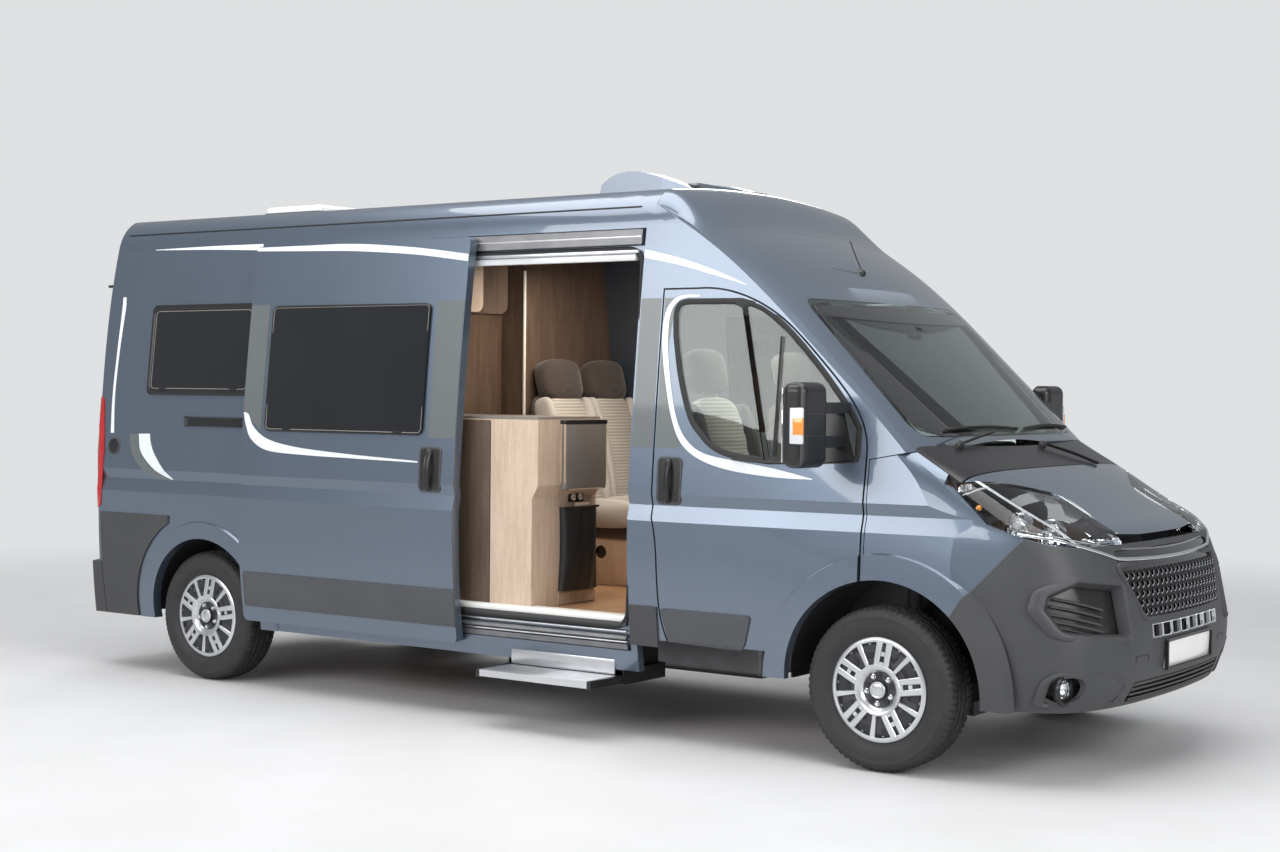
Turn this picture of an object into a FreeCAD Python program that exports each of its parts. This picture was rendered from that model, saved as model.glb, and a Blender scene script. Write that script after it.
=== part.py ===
import FreeCAD, Part
import math
import os

from FreeCAD import Vector

# A long, high-roofed camper van, in millimetres.
# +X is forward, +Y is the driver's side (left), +Z is up.
# The origin is on the ground, under the middle of the vehicle.

# Overall sizes
length = 5998.0
width = 2050.0
height = 2524.0
wheelbase = 4035.0
front_overhang = 948.0
front_track = 1810.0
rear_track = 1790.0

# Sheet and wall thicknesses
wall = 42.0
rear_wall = 55.0
panel = 24.0
bonnet_depth = 44.0
door_skin = 20.0
door_depth = 48.0
glass = 8.0
glass_gap = 0.5
shut_gap = 8.0
seam_gap = 4.0
seat_gap = 0.3
overrun = 50.0
reach = 9000.0

# Wheels
tyre_diameter = 682.0
tyre_width = 215.0
tyre_shoulder = 28.0
tyre_bead_width = 165.0
rim_diameter = 432.0
rim_flange = 14.0
rim_well_depth = 40.0
rim_sheet = 9.0
cover_dish = 26.0
hub_boss_radius = 62.0
hub_boss_length = 30.0
stub_radius = 30.0
running_gap = 0.06
disc_brake_radius = 140.0
disc_brake_thickness = 24.0
spoke_count = 10
lug_count = 5
lug_radius = 11.0
lug_circle = 118.0

# Wheel arches
front_arch_radius = 452.0
rear_arch_radius = 412.0
flare_width = 92.0
flare_rise = 12.0
flare_bevel = 22.0
liner_thickness = 8.0
liner_gap = 6.0
front_liner_depth = 450.0
rear_liner_depth = 330.0

# Floor and frame under it
floor_top = 530.0
floor_thickness = 30.0
rail_height = 110.0
rail_width = 70.0
rail_spread = 900.0
crossmember_count = 6

# Swung panels
cab_hinge_x = 1892.0
cab_hinge_y = 1012.0
cab_hinge_sweep = 80.0
rear_door_half_width = 800.0
rear_door_top = 2290.0
rear_door_sill_gap = 8.0
rear_door_split = 12.0
rear_hinge_x = -2951.0
rear_hinge_y = 812.0
rear_hinge_base = 1000.0
rear_hinge_lean = 0.0314
rear_hinge_levels = (720.0, 1640.0, 2140.0)
rear_hinge_eye = 12.0
rear_hinge_pin = 6.0
rear_hinge_height = 30.0
rear_hinge_leaf = 10.0
rear_hinge_reach = 70.0
rear_hinge_play = 1.0
rear_door_corner = 60.0

half_length = length / 2
half_width = width / 2
wheel_radius = tyre_diameter / 2
front_axle_x = half_length - front_overhang
rear_axle_x = front_axle_x - wheelbase

# Half of the body's cross-section as arcs: shares of the half width and of the height
lower_arc_shares = [(0.951, 0.119), (0.990, 0.240), (1.001, 0.390)]
swage_share = (0.985, 0.418)
upper_arc_shares = [(0.997, 0.438), (0.949, 0.668), (0.878, 0.915)]

# The roof's edge and its top: the two shares, then how far an inset moves each point in and down
roof_arc_shares = [
    (0.878, 0.915, 1.00, 0.00),
    (0.836, 0.958, 0.75, 0.65),
    (0.760, 0.982, 0.20, 1.00),
    (0.000, 1.000, 0.00, 1.00),
]
slope_share = 0.70

# Where the cross-section narrows towards the nose: shares of the half length and half width
straight_end_share = 0.277
taper_shares = [
    (0.277, 0.0),
    (0.30, 0.0002),
    (0.34, 0.003),
    (0.43, 0.016),
    (0.54, 0.050),
    (0.67, 0.110),
    (0.80, 0.180),
    (1.04, 0.330),
]
taper_low_share = 0.15
taper_high_share = 0.80

# Middle lines of the nose, the windscreen with the roof's front, and the tail:
# shares of the half length, of the height, and how much the corners fall back
nose_shares = [
    (0.940, 0.040, 1.00),
    (0.960, 0.091, 1.00),
    (0.985, 0.135, 1.00),
    (0.999, 0.190, 1.00),
    (0.998, 0.246, 1.00),
    (0.989, 0.301, 1.00),
    (0.975, 0.349, 1.00),
    (0.956, 0.390, 0.97),
    (0.918, 0.418, 0.88),
    (0.867, 0.452, 0.74),
    (0.807, 0.493, 0.55),
    (0.750, 0.529, 0.34),
    (0.684, 0.567, 0.20),
    (0.600, 0.612, 0.20),
]
nose_crown = 110.0
nose_corner = 400.0
cab_shares = [
    (1.000, 0.180, 1.00),
    (0.880, 0.360, 1.00),
    (0.807, 0.458, 1.00),
    (0.747, 0.533, 1.00),
    (0.687, 0.602, 1.00),
    (0.614, 0.685, 1.00),
    (0.547, 0.761, 1.00),
    (0.510, 0.800, 1.00),
    (0.460, 0.848, 1.00),
    (0.397, 0.899, 1.00),
    (0.327, 0.945, 1.00),
    (0.240, 0.979, 1.00),
    (0.133, 1.000, 1.00),
    (0.000, 1.020, 1.00),
]
cab_crown = 130.0
cab_corner = 70.0
tail_shares = [
    (0.972, 0.040, 1.00),
    (0.981, 0.238, 1.00),
    (0.984, 0.396, 1.00),
    (0.981, 0.555, 1.00),
    (0.974, 0.713, 1.00),
    (0.963, 0.852, 1.00),
    (0.950, 0.951, 1.00),
    (0.936, 1.040, 1.00),
]
tail_crown = 20.0
tail_corner = 110.0
grid_columns = 13
grid_spread = 1.03
corner_power = 8
curve_points = 9

# Outlines seen from the side: shares of the half length and of the height
cab_door_shares = [
    [(0.654, 0.100)],
    [(0.654, 0.515)],
    [(0.644, 0.571), (0.610, 0.630), (0.568, 0.683), (0.511, 0.745), (0.441, 0.788), (0.367, 0.800)],
    [(0.306, 0.800)],
    [(0.306, 0.396)],
    [(0.317, 0.277), (0.333, 0.178), (0.367, 0.133)],
    [(0.600, 0.133)],
    [(0.600, 0.100)],
]
cab_window_shares = [
    [(0.442, 0.776)],
    [(0.477, 0.763), (0.517, 0.729), (0.567, 0.670), (0.617, 0.600), (0.640, 0.560)],
    [(0.640, 0.508)],
    [(0.503, 0.500)],
    [(0.441, 0.509), (0.410, 0.522), (0.388, 0.543), (0.367, 0.574), (0.347, 0.640), (0.333, 0.715)],
    [(0.331, 0.755), (0.337, 0.772), (0.350, 0.777)],
]
fender_seam_shares = [(0.657, 0.510), (0.760, 0.533), (1.10, 0.560)]
bonnet_edge_shares = [(0.60, 0.530), (0.770, 0.474), (0.850, 0.438), (0.910, 0.412), (0.955, 0.389), (1.10, 0.389)]
headlamp_shares = [
    [(0.776, 0.470)],
    [(0.790, 0.4735), (0.846, 0.4575), (0.875, 0.442)],
    [(0.915, 0.415), (0.950, 0.392)],
    [(0.985, 0.378)],
    [(0.930, 0.378), (0.880, 0.392), (0.830, 0.412)],
]
bumper_top_shares = [
    (0.70, 0.100),
    (0.805, 0.292),
    (0.880, 0.390),
    (0.930, 0.3765),
    (1.10, 0.3765),
]

# Windows of the living space, seen from the side
side_window_top_share = 0.782
side_window_bottom_share = 0.531
side_window_corner = 34.0
window_frame = 26.0
window_stand = 10.0
rear_window_x_shares = (-0.812, -0.560)
rear_window_bottom_share = 0.610
front_window_x_shares = (0.020, 0.250)

# Windscreen, seen from the front
windscreen_bottom_share = 0.546
windscreen_top_share = 0.782
windscreen_low_half = 800.0
windscreen_high_half = 735.0
windscreen_corner = 70.0

# Sliding door on the right side, stored open
doorway_front = 774.0
doorway_width = 1250.0
doorway_bottom = 500.0
doorway_top = 2200.0
doorway_corner = 90.0
rebate_depth = 26.0
rebate_top = 2296.0
rebate_bottom = 392.0
rebate_margin = 24.0
slide_travel = 1000.0
slide_stand_off = 66.0
slide_panel_front = 820.0
slide_panel_width = 1452.0
slide_panel_bottom = 352.0
slide_panel_top = 2288.0
slide_panel_corner = 30.0
slide_window_x = (-459.0, 613.0)
guide_rail_height = 24.0
guide_rail_rear = -2138.0
guide_rail_level = 1373.0
bracket_height = 30.0
bracket_length = 90.0

# Bonnet and cowl
cowl_front_share = 0.803
cowl_side_share = 0.766
cowl_rear_share = 0.667
cowl_half = 872.0
bonnet_hinge_rise = 8.0

# Grille, lamps, plate
grille_top = 930.0
grille_bottom = 655.0
grille_top_half = 560.0
grille_bottom_half = 430.0
slot_top = 625.0
slot_bottom = 572.0
slot_half = 380.0
slot_count = 8
plate_width = 520.0
plate_height = 112.0
plate_thickness = 6.0
plate_bottom = 436.0
lower_intake_top = 400.0
lower_intake_bottom = 318.0
lower_intake_half = 520.0
side_intake_shares = [
    [(0.560, 0.316)],
    [(0.780, 0.326), (0.880, 0.306), (0.895, 0.282)],
    [(0.860, 0.243)],
    [(0.560, 0.232)],
]
fog_lamp_y = 850.0
fog_lamp_z = 395.0
fog_lamp_radius = 48.0
grille_bar = 11.0
grille_depth = 30.0
lamp_depth = 150.0
lamp_inner_half = 440.0
tail_lamp_bottom = 875.0
tail_lamp_top = 1500.0
tail_lamp_inner = 815.0
tail_lamp_side = 130.0

# Front suspension
kingpin_inset = 105.0
kingpin_radius = 14.0
kingpin_bottom = 175.0
kingpin_top = 480.0
upright_bottom = 215.0
upright_top = 440.0
upright_width = 90.0
upright_depth = 60.0
eye_radius = 34.0
eye_height = 30.0
strut_radius = 32.0
strut_top = 740.0
axle_plate = 40.0
arm_width = 60.0
subframe_half = 430.0
subframe_length = 320.0
subframe_height = 60.0
engine_length = 520.0
engine_width = 620.0
engine_height = 560.0
engine_bottom = 380.0
engine_centre = 2420.0

# Rear suspension
beam_radius = 42.0
spring_length = 1300.0
spring_width = 70.0
spring_thickness = 24.0
spring_gap = 14.0

# Under-floor units
tank_length = 900.0
tank_width = 520.0
tank_height = 190.0
tank_corner = 30.0
exhaust_radius = 27.0
silencer_radius = 85.0
silencer_length = 520.0
hanger_width = 30.0

# Entrance step
step_length = 640.0
step_depth = 245.0
step_thickness = 30.0
step_lip = 14.0
step_level = 240.0
step_centre = 400.0
step_travel = 230.0
step_case_depth = 330.0
step_case_sheet = 6.0
step_case_height = 69.0
step_groove_count = 5

# Mirrors
mirror_height = 350.0
mirror_width = 215.0
mirror_depth = 110.0
mirror_corner = 42.0
mirror_centre_x = 1815.0
mirror_centre_z = 1428.0
mirror_stand = 78.0
mirror_arm_height = 46.0
mirror_arm_depth = 54.0
mirror_foot = 16.0

# Roof units
hatch_rear = 170.0
hatch_front = 930.0
hatch_half = 430.0
hatch_height_over_roof = 58.0
hatch_nose_level = 2445.0
hatch_hole_rear = 240.0
hatch_hole_length = 450.0
hatch_hole_half = 320.0
hatch_lid_thickness = 26.0
hatch_gap = 8.0
hatch_pivot_radius = 6.0
hatch_side_fall = 60.0
vent_centre = -2150.0
vent_half = 215.0
vent_frame_height = 30.0
vent_lid_height = 34.0
vent_wall = 22.0

# Cab fittings
dash_rear = 1740.0
dash_half = 880.0
dash_bottom = 760.0
dash_top = 1290.0
dash_nose = 2080.0
dash_round = 70.0
bulkhead_front = 2120.0
bulkhead_thickness = 14.0
wheel_rim_radius = 190.0
wheel_rim_tube = 15.0
steering_centre_x = 1640.0
steering_centre_z = 1190.0
steering_offset_y = 400.0
steering_rake_deg = 38.0
column_length = 190.0
column_radius = 34.0
wheel_hub_radius = 52.0
wheel_hub_depth = 46.0
spoke_width = 26.0
spoke_thickness = 12.0
column_gap = 0.3

# Seats
seat_width = 500.0
seat_cushion_height = 130.0
seat_cushion_depth = 520.0
seat_back_height = 640.0
seat_back_thickness = 120.0
seat_back_lean_deg = 14.0
seat_round = 40.0
seat_plinth_height = 300.0
seat_plinth_inset = 60.0
headrest_width = 270.0
headrest_height = 190.0
headrest_thickness = 90.0
headrest_post_radius = 8.0
headrest_gap = 45.0
cab_seat_front = 1500.0
cab_seat_y = 400.0
bench_front = 40.0
bench_y = 540.0
bench_width = 820.0

# Living space furniture
kitchen_front = 180.0
kitchen_length = 1090.0
kitchen_side = 940.0
kitchen_depth = 500.0
kitchen_top = 1420.0
kitchen_step_top = 1110.0
kitchen_step_depth = 70.0
kitchen_corner = 60.0
flap_width = 330.0
flap_height = 330.0
flap_thickness = 30.0
flap_corner = 50.0
flap_drop = 6.0
bag_width = 290.0
bag_height = 400.0
bag_depth = 80.0
bag_bottom = 600.0
board = 18.0
washroom_front = -740.0
washroom_length = 660.0
washroom_inner = 130.0
bed_rear = -2890.0
bed_front = -1480.0
bed_level = 1180.0
bed_thickness = 40.0
mattress_thickness = 130.0
bed_half = 920.0
locker_bottom = 1930.0
locker_depth = 330.0
locker_rear = -2850.0
locker_right_front = -250.0
locker_left_front = -1250.0
locker_corner = 60.0

# Rear bumper and lower side covers
rear_bumper_top = 585.0
rear_bumper_bottom = 300.0
rear_bumper_stand = 58.0
rear_bumper_wrap = 90.0
cover_stand = 9.0
cover_top_share = 0.239
cover_bottom_share = 0.168
rear_cover_front_shares = (-0.748, 0.342)

# The back doors open over the bumper
rear_door_bottom = rear_bumper_top + rear_door_sill_gap

os.makedirs("parts", exist_ok=True)
built = {}


def keep(name, shape):
    """Stores one node, as its separate solids."""
    solids = [s for s in shape.Solids if s.Volume > seat_gap ** 3]
    built[name] = solids[0] if len(solids) == 1 else Part.makeCompound(solids)
    return built[name]


def block(x0, x1, y0, y1, z0, z1):
    """A box between two corners, given in any order."""
    low = Vector(min(x0, x1), min(y0, y1), min(z0, z1))
    size = Vector(abs(x1 - x0), abs(y1 - y0), abs(z1 - z0))
    return Part.makeBox(size.x, size.y, size.z, low)


def rod(start, end, radius):
    """A round bar between two points."""
    way = end - start
    return Part.makeCylinder(radius, way.Length, start, way)


def mirrored(shape):
    """The same shape on the other side of the middle plane."""
    return shape.mirror(Vector(0, 0, 0), Vector(0, 1, 0))


def rounded(shape, radius, picked=None):
    """Fillets all edges, or those that the test picks."""
    edges = [e for e in shape.Edges if picked is None or picked(e)]
    return shape.makeFillet(radius, edges)


def runs_along(axis):
    """A test for straight edges along one axis."""
    def test(edge):
        if len(edge.Vertexes) != 2:
            return False
        way = edge.Vertexes[1].Point - edge.Vertexes[0].Point
        return abs(way.dot(axis)) > 0.999 * way.Length
    return test


def closed_face(steps):
    """A flat face. Each step is a list of points: one is a straight run, more are a smooth curve."""
    edges = []
    last = steps[-1][-1]
    for step in steps:
        run = [last] + step
        if len(run) == 2:
            edges.append(Part.LineSegment(run[0], run[1]).toShape())
        else:
            curve = Part.BSplineCurve()
            curve.interpolate(run)
            edges.append(curve.toShape())
        last = step[-1]
    return Part.Face(Part.Wire(edges))


def side_prism(step_shares, y0, y1):
    """A prism across the van from an outline seen from the side, in shares."""
    steps = [[Vector(x * half_length, y0, z * height) for x, z in step] for step in step_shares]
    return closed_face(steps).extrude(Vector(0, y1 - y0, 0))


def polygon_prism(points, way):
    """A prism from a closed polygon."""
    return Part.Face(Part.makePolygon(points + points[:1])).extrude(way)


def above_line(line_shares, top):
    """All that lies above a line seen from the side, up to a level."""
    line = [Vector(x * half_length, -width, z * height) for x, z in line_shares]
    ends = [Vector(line[-1].x, -width, top), Vector(line[0].x, -width, top)]
    return polygon_prism(line + ends, Vector(0, 2 * width, 0))


def below_line(line_shares, bottom, drop=0.0):
    """All that lies below a line seen from the side, down to a level."""
    line = [Vector(x * half_length, -width, z * height - drop) for x, z in line_shares]
    ends = [Vector(line[-1].x, -width, bottom), Vector(line[0].x, -width, bottom)]
    return polygon_prism(line + ends, Vector(0, 2 * width, 0))


def rounded_window(x0, x1, z0, z1, y0, y1, corner):
    """A rounded rectangle seen from the side, as a prism across the wall."""
    return rounded(block(x0, x1, y0, y1, z0, z1), corner, runs_along(Vector(0, 1, 0)))


def shifted_side(share, x, taper, inset, side):
    """One point of the cross-section at a station, moved straight inwards."""
    lean = (share[1] - taper_low_share) / (taper_high_share - taper_low_share)
    lean = min(max(lean, 0.0), 1.0)
    y = share[0] * half_width - inset - taper * half_width * lean
    return Vector(x, side * y, share[1] * height)


def arc(points):
    return Part.Arc(points[0], points[1], points[2]).toShape()


def line(a, b):
    return Part.LineSegment(a, b).toShape()


def side_edges(x, taper, inset, side):
    """The edges of one side from the sill up to the roof, and their two end points."""
    low = [shifted_side(s, x, taper, inset, side) for s in lower_arc_shares]
    swage = shifted_side(swage_share, x, taper, inset, side)
    high = [shifted_side(s, x, taper, inset, side) for s in upper_arc_shares]
    edges = [arc(low), line(low[-1], swage), line(swage, high[0]), arc(high)]
    return edges, low[0], high[-1]


def roof_edges(x, taper, inset):
    """The edges over the roof from right to left, and their two end points."""
    right = []
    for y_share, z_share, in_share, down_share in roof_arc_shares:
        point = shifted_side((y_share, z_share), x, taper, inset * in_share, -1)
        right.append(point - Vector(0, 0, inset * down_share))
    right[-1].y = 0
    left = [Vector(p.x, -p.y, p.z) for p in right]
    edges = [arc(right[:3]), arc([right[2], right[3], left[2]]), arc(left[2::-1])]
    return edges, right[0], left[0]


def along(make_ring):
    """A solid along the whole van: straight at the back, narrowing towards the nose."""
    start = -taper_shares[-1][0] * half_length
    middle = straight_end_share * half_length
    back = Part.Face(make_ring(start, 0.0)).extrude(Vector(middle - start, 0, 0))
    wires = [make_ring(x * half_length, taper) for x, taper in taper_shares]
    return back, Part.makeLoft(wires, True, False)


stored = {}


def hull_parts(inset):
    """The form whose sides and roof the whole van shares, moved inwards: its back and its front part."""
    def ring(x, taper):
        right, right_low, _ = side_edges(x, taper, inset, -1)
        left, left_low, _ = side_edges(x, taper, inset, 1)
        over, _, _ = roof_edges(x, taper, inset)
        return Part.Wire(right + over + left[::-1] + [line(left_low, right_low)])

    if inset not in stored:
        stored[inset] = along(ring)
    return stored[inset]


def strip_parts(outer, inner):
    """The right side as a sheet between two insets: its back and its front part."""
    def ring(x, taper):
        out_edges, out_low, out_high = side_edges(x, taper, outer, -1)
        in_edges, in_low, in_high = side_edges(x, taper, inner, -1)
        return Part.Wire(out_edges + [line(out_high, in_high)] + in_edges[::-1] + [line(in_low, out_low)])

    if (outer, inner) not in stored:
        stored[outer, inner] = along(ring)
    return stored[outer, inner]


def hull_form(inset):
    back, front = hull_parts(inset)
    if ("whole", inset) not in stored:
        stored["whole", inset] = back.fuse(front)
    return stored["whole", inset]


def side_strip(outer, inner):
    back, front = strip_parts(outer, inner)
    if ("whole", outer, inner) not in stored:
        stored["whole", outer, inner] = back.fuse(front)
    return stored["whole", outer, inner]


def back_strip(outer, inner):
    return strip_parts(outer, inner)[0]


def front_strip(outer, inner):
    return strip_parts(outer, inner)[1]


def roof_strip(outer, inner):
    """The roof as a sheet between two insets."""
    def ring(x, taper):
        over, over_right, over_left = roof_edges(x, taper, outer)
        under, under_right, under_left = roof_edges(x, taper, inner)
        ends = [line(over_left, under_left)], [line(under_right, over_right)]
        return Part.Wire(over + ends[0] + under[::-1] + ends[1])

    back, front = along(ring)
    return back, front


def end_face(shares, crown, corner, inset, way):
    """The curved face that closes one end; way is 1 for the front and -1 for the back."""
    grid = []
    for x_share, z_share, fall in shares:
        row = []
        for i in range(grid_columns):
            across = grid_spread * (2.0 * i / (grid_columns - 1) - 1.0)
            back = crown * across ** 2 + corner * fall * abs(across) ** corner_power
            x = x_share * half_length - back - inset
            row.append(Vector(way * x, across * half_width, z_share * height))
        grid.append(row)
    surface = Part.BSplineSurface()
    surface.interpolate(grid)
    return surface.toShape()


def nose_face(inset=0.0):
    return end_face(nose_shares, nose_crown, nose_corner, inset, 1)


def cab_face(inset=0.0):
    return end_face(cab_shares, cab_crown, cab_corner, inset, 1)


def tail_face(inset=0.0):
    return end_face(tail_shares, tail_crown, tail_corner, inset, -1)


def nose_block(inset=0.0):
    """All that lies behind the nose's face."""
    return nose_face(inset).extrude(Vector(-reach, 0, 0))


def cab_block(inset=0.0):
    """All that lies behind the windscreen's face."""
    return cab_face(inset).extrude(Vector(-reach, 0, 0))


def tail_block(inset=0.0):
    """All that lies in front of the tail's face."""
    return tail_face(inset).extrude(Vector(reach, 0, 0))


def sloped_sheet(face, out, thickness):
    """A sheet under a sloping face; out lifts it first."""
    way = Vector(-slope_share, 0, -slope_share)
    moved = face.copy()
    moved.translate(way * -out)
    return moved.extrude(way * (thickness + out))


def arch(axle_x, radius):
    """A round bar across the van that clears one pair of wheels."""
    return rod(Vector(axle_x, -width, wheel_radius), Vector(axle_x, width, wheel_radius), radius)


def flare(axle_x, radius):
    """The raised band round the right arch of one axle, with a bevelled edge."""
    start = Vector(axle_x, -half_width + 2 * wall, wheel_radius)
    cone = Part.makeCone(
        radius + flare_width + 2 * flare_bevel, radius + flare_width - 2 * flare_bevel, 4 * wall, start,
        Vector(0, -1, 0))
    sheet = strip_parts(-flare_rise, panel)[1 if axle_x > 0 else 0]
    return sheet.common(cone)


def right_half():
    return block(-length, length, -width, 0, 0, 2 * height)


skin_back, skin_front = hull_parts(0.0)
cab_out = cab_block()
nose_out = nose_block()
tail_out = tail_block()
front_flare = flare(front_axle_x, front_arch_radius)
rear_flare = flare(rear_axle_x, rear_arch_radius)
arches = arch(front_axle_x, front_arch_radius).fuse(arch(rear_axle_x, rear_arch_radius))

roof_split = upper_arc_shares[-1][1] * height
header_level = windscreen_top_share * height + windscreen_corner
header_half = windscreen_high_half + windscreen_corner
roof_front = hatch_front - overrun


def rear_opening(gap):
    """The opening of both back doors, seen from behind, smaller by a gap."""
    half = rear_door_half_width - gap
    opening = block(
        -length, -half_length + 8 * wall, -half, half, rear_door_bottom + gap, rear_door_top - gap)
    return rounded(opening, rear_door_corner, runs_along(Vector(1, 0, 0)))


def windscreen_prism(grow):
    """The windscreen opening seen from the front, with rounded corners."""
    low = windscreen_bottom_share * height
    high = windscreen_top_share * height
    start = half_length / 3
    points = [
        Vector(start, -windscreen_low_half - grow, low - grow),
        Vector(start, windscreen_low_half + grow, low - grow),
        Vector(start, windscreen_high_half + grow, high + grow),
        Vector(start, -windscreen_high_half - grow, high + grow),
    ]
    prism = polygon_prism(points, Vector(length, 0, 0))
    return rounded(prism, windscreen_corner, runs_along(Vector(1, 0, 0)))


def redrawn(flat):
    """The same flat face with each curved edge drawn again through points on it."""
    steps = []
    for edge in flat.OuterWire.OrderedEdges:
        points = edge.discretize(curve_points)
        if points[0].distanceToPoint(edge.firstVertex(True).Point) > seat_gap:
            points.reverse()
        straight = isinstance(edge.Curve, Part.Line)
        steps.append(points[-1:] if straight else points[1:])
    return closed_face(steps)


def grown_prism(step_shares, grow):
    """A prism across the van from an outline seen from the side, grown on every edge."""
    steps = [[Vector(x * half_length, -width, z * height) for x, z in step] for step in step_shares]
    flat = closed_face(steps)
    if grow:
        flat = redrawn(flat.makeOffset2D(grow))
    return flat.extrude(Vector(0, 2 * width, 0))


header_zone = block(0, length, -header_half, header_half, header_level, 2 * height)
roof_zone = block(-length, length, -width, width, roof_split, 2 * height).fuse(header_zone)
rear_frame = tail_face().extrude(Vector(rear_wall, 0, 0)).common(skin_back).cut(rear_opening(0.0))
cab_sheet = sloped_sheet(cab_face(), 0.0, wall)
roof_cap = cab_sheet.common(skin_front).fuse(cab_sheet.common(skin_back)).common(roof_zone)


def windscreen_frame():
    """The pillars and the roof's edge round the windscreen."""
    start = fender_seam_shares[0][0] * half_length
    level = fender_seam_shares[0][1] * height
    zone = block(0, start, -width, width, level, roof_split).fuse(
        above_line(fender_seam_shares, roof_split)).cut(header_zone)
    front = block(0, cowl_rear_share * half_length + 4 * wall, -width, width, 0, 2 * height)
    frame = cab_sheet.common(zone).common(front).common(skin_front)
    return frame.cut(windscreen_prism(0.0))


front_frame = windscreen_frame()


def build_roof():
    """The roof skin, with the sloped front above the windscreen and the holes for the roof units."""
    back, front = roof_strip(0.0, wall)
    under_cap = cab_block()
    under_cap.translate(Vector(-slope_share, 0, -slope_share) * (wall + seat_gap))
    edges = front.common(under_cap).common(roof_zone)
    roof = back.common(tail_out).fuse(roof_cap).fuse(rear_frame.common(roof_zone))
    hatch_hole = block(
        hatch_hole_rear, hatch_hole_rear + hatch_hole_length,
        -hatch_hole_half, hatch_hole_half, roof_split, 2 * height,
    )
    vent_hole = block(
        vent_centre - vent_half + vent_wall, vent_centre + vent_half - vent_wall,
        -vent_half + vent_wall, vent_half - vent_wall, roof_split, 2 * height,
    )
    keep("roof", Part.makeCompound([roof.cut(hatch_hole).cut(vent_hole)] + edges.Solids))


build_roof()

door_cut = grown_prism(cab_door_shares, 0.0)
side_top = side_window_top_share * height
side_bottom = side_window_bottom_share * height
rear_window_x = [s * half_length for s in rear_window_x_shares]
front_window_x = [s * half_length for s in front_window_x_shares]
rear_window_z = rear_window_bottom_share * height
doorway_rear = doorway_front - doorway_width


def side_windows(side, grow):
    """The window openings in one side wall of the living space; side is -1 for the right."""
    y0, y1 = (-width, -half_width / 2) if side < 0 else (half_width / 2, width)
    found = [rounded_window(
        rear_window_x[0] - grow, rear_window_x[1] + grow, rear_window_z - grow, side_top + grow,
        y0, y1, side_window_corner,
    )]
    if side > 0:
        found.append(rounded_window(
            front_window_x[0] - grow, front_window_x[1] + grow, side_bottom - grow, side_top + grow,
            y0, y1, side_window_corner,
        ))
    return found


def right_wall():
    """One side wall before its own openings are cut."""
    low = block(-length, length, -width, width, 0, roof_split)
    back_zone = block(-length, fender_seam_shares[0][0] * half_length, -width, width, 0, 2 * height)
    front_zone = back_zone.fuse(above_line(fender_seam_shares, 2 * height))
    back = back_strip(0.0, wall).common(tail_out).common(low).cut(arches).cut(door_cut)
    front = front_strip(0.0, wall).common(cab_out).common(front_zone).cut(door_cut).cut(arches)
    corner = rear_frame.common(right_half()).cut(roof_zone)
    return back.fuse(front).fuse(rear_flare.cut(arches)).fuse(corner)


def right_pillar():
    """The pillar beside the windscreen and half of the roof's edge over it, inside the side wall."""
    inner = front_frame.common(hull_parts(wall + seat_gap)[1]).common(right_half())
    return inner.cut(door_cut)


def build_sides():
    """The two side walls, with doorways, windows, arches and the recess round the sliding door."""
    right = right_wall()
    left = mirrored(right)
    for window in side_windows(1, 0.0):
        left = left.cut(window)
    for window in side_windows(-1, 0.0):
        right = right.cut(window)
    recess = back_strip(-overrun, rebate_depth)
    rebate = recess.common(block(
        doorway_rear - rebate_margin, doorway_front + rebate_margin,
        -width, 0, rebate_bottom, rebate_top,
    ))
    doorway = rounded_window(
        doorway_rear, doorway_front, doorway_bottom, doorway_top, -width, -half_width / 2, doorway_corner)
    guide = recess.common(block(
        guide_rail_rear, doorway_rear - rebate_margin, -width, 0,
        guide_rail_level - guide_rail_height, guide_rail_level + guide_rail_height,
    ))
    pillar = right_pillar()
    keep("side_wall_right", Part.makeCompound([right.cut(rebate).cut(doorway).cut(guide), pillar]))
    keep("side_wall_left", Part.makeCompound([left, mirrored(pillar)]))


build_sides()


def build_glass():
    """The windscreen and the fixed windows, each in its opening."""
    pane = sloped_sheet(cab_face(), 0.0, glass / slope_share).common(skin_front).common(windscreen_prism(-glass_gap))
    keep("windscreen", pane)
    sheet = back_strip(-window_stand, wall - glass_gap)
    rim = back_strip(-window_stand, -seat_gap)
    panes = []
    for side in (-1, 1):
        inner = sheet if side < 0 else mirrored(sheet)
        outer = rim if side < 0 else mirrored(rim)
        for hole, border in zip(side_windows(side, -glass_gap), side_windows(side, window_frame)):
            panes.append(inner.common(hole).fuse(outer.common(border)))
    keep("side_windows", Part.makeCompound(panes))


build_glass()


def window_post():
    """The upright bar that divides the cab door's window."""
    foot = cab_window_shares[3][0]
    head = cab_window_shares[0][0]
    half = spoke_width / 2
    zone = polygon_prism(
        [
            Vector(foot[0] * half_length - half, -width, foot[1] * height - wall),
            Vector(foot[0] * half_length + half, -width, foot[1] * height - wall),
            Vector(head[0] * half_length + half, -width, head[1] * height + wall),
            Vector(head[0] * half_length - half, -width, head[1] * height + wall),
        ],
        Vector(0, width, 0),
    )
    return zone


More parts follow.
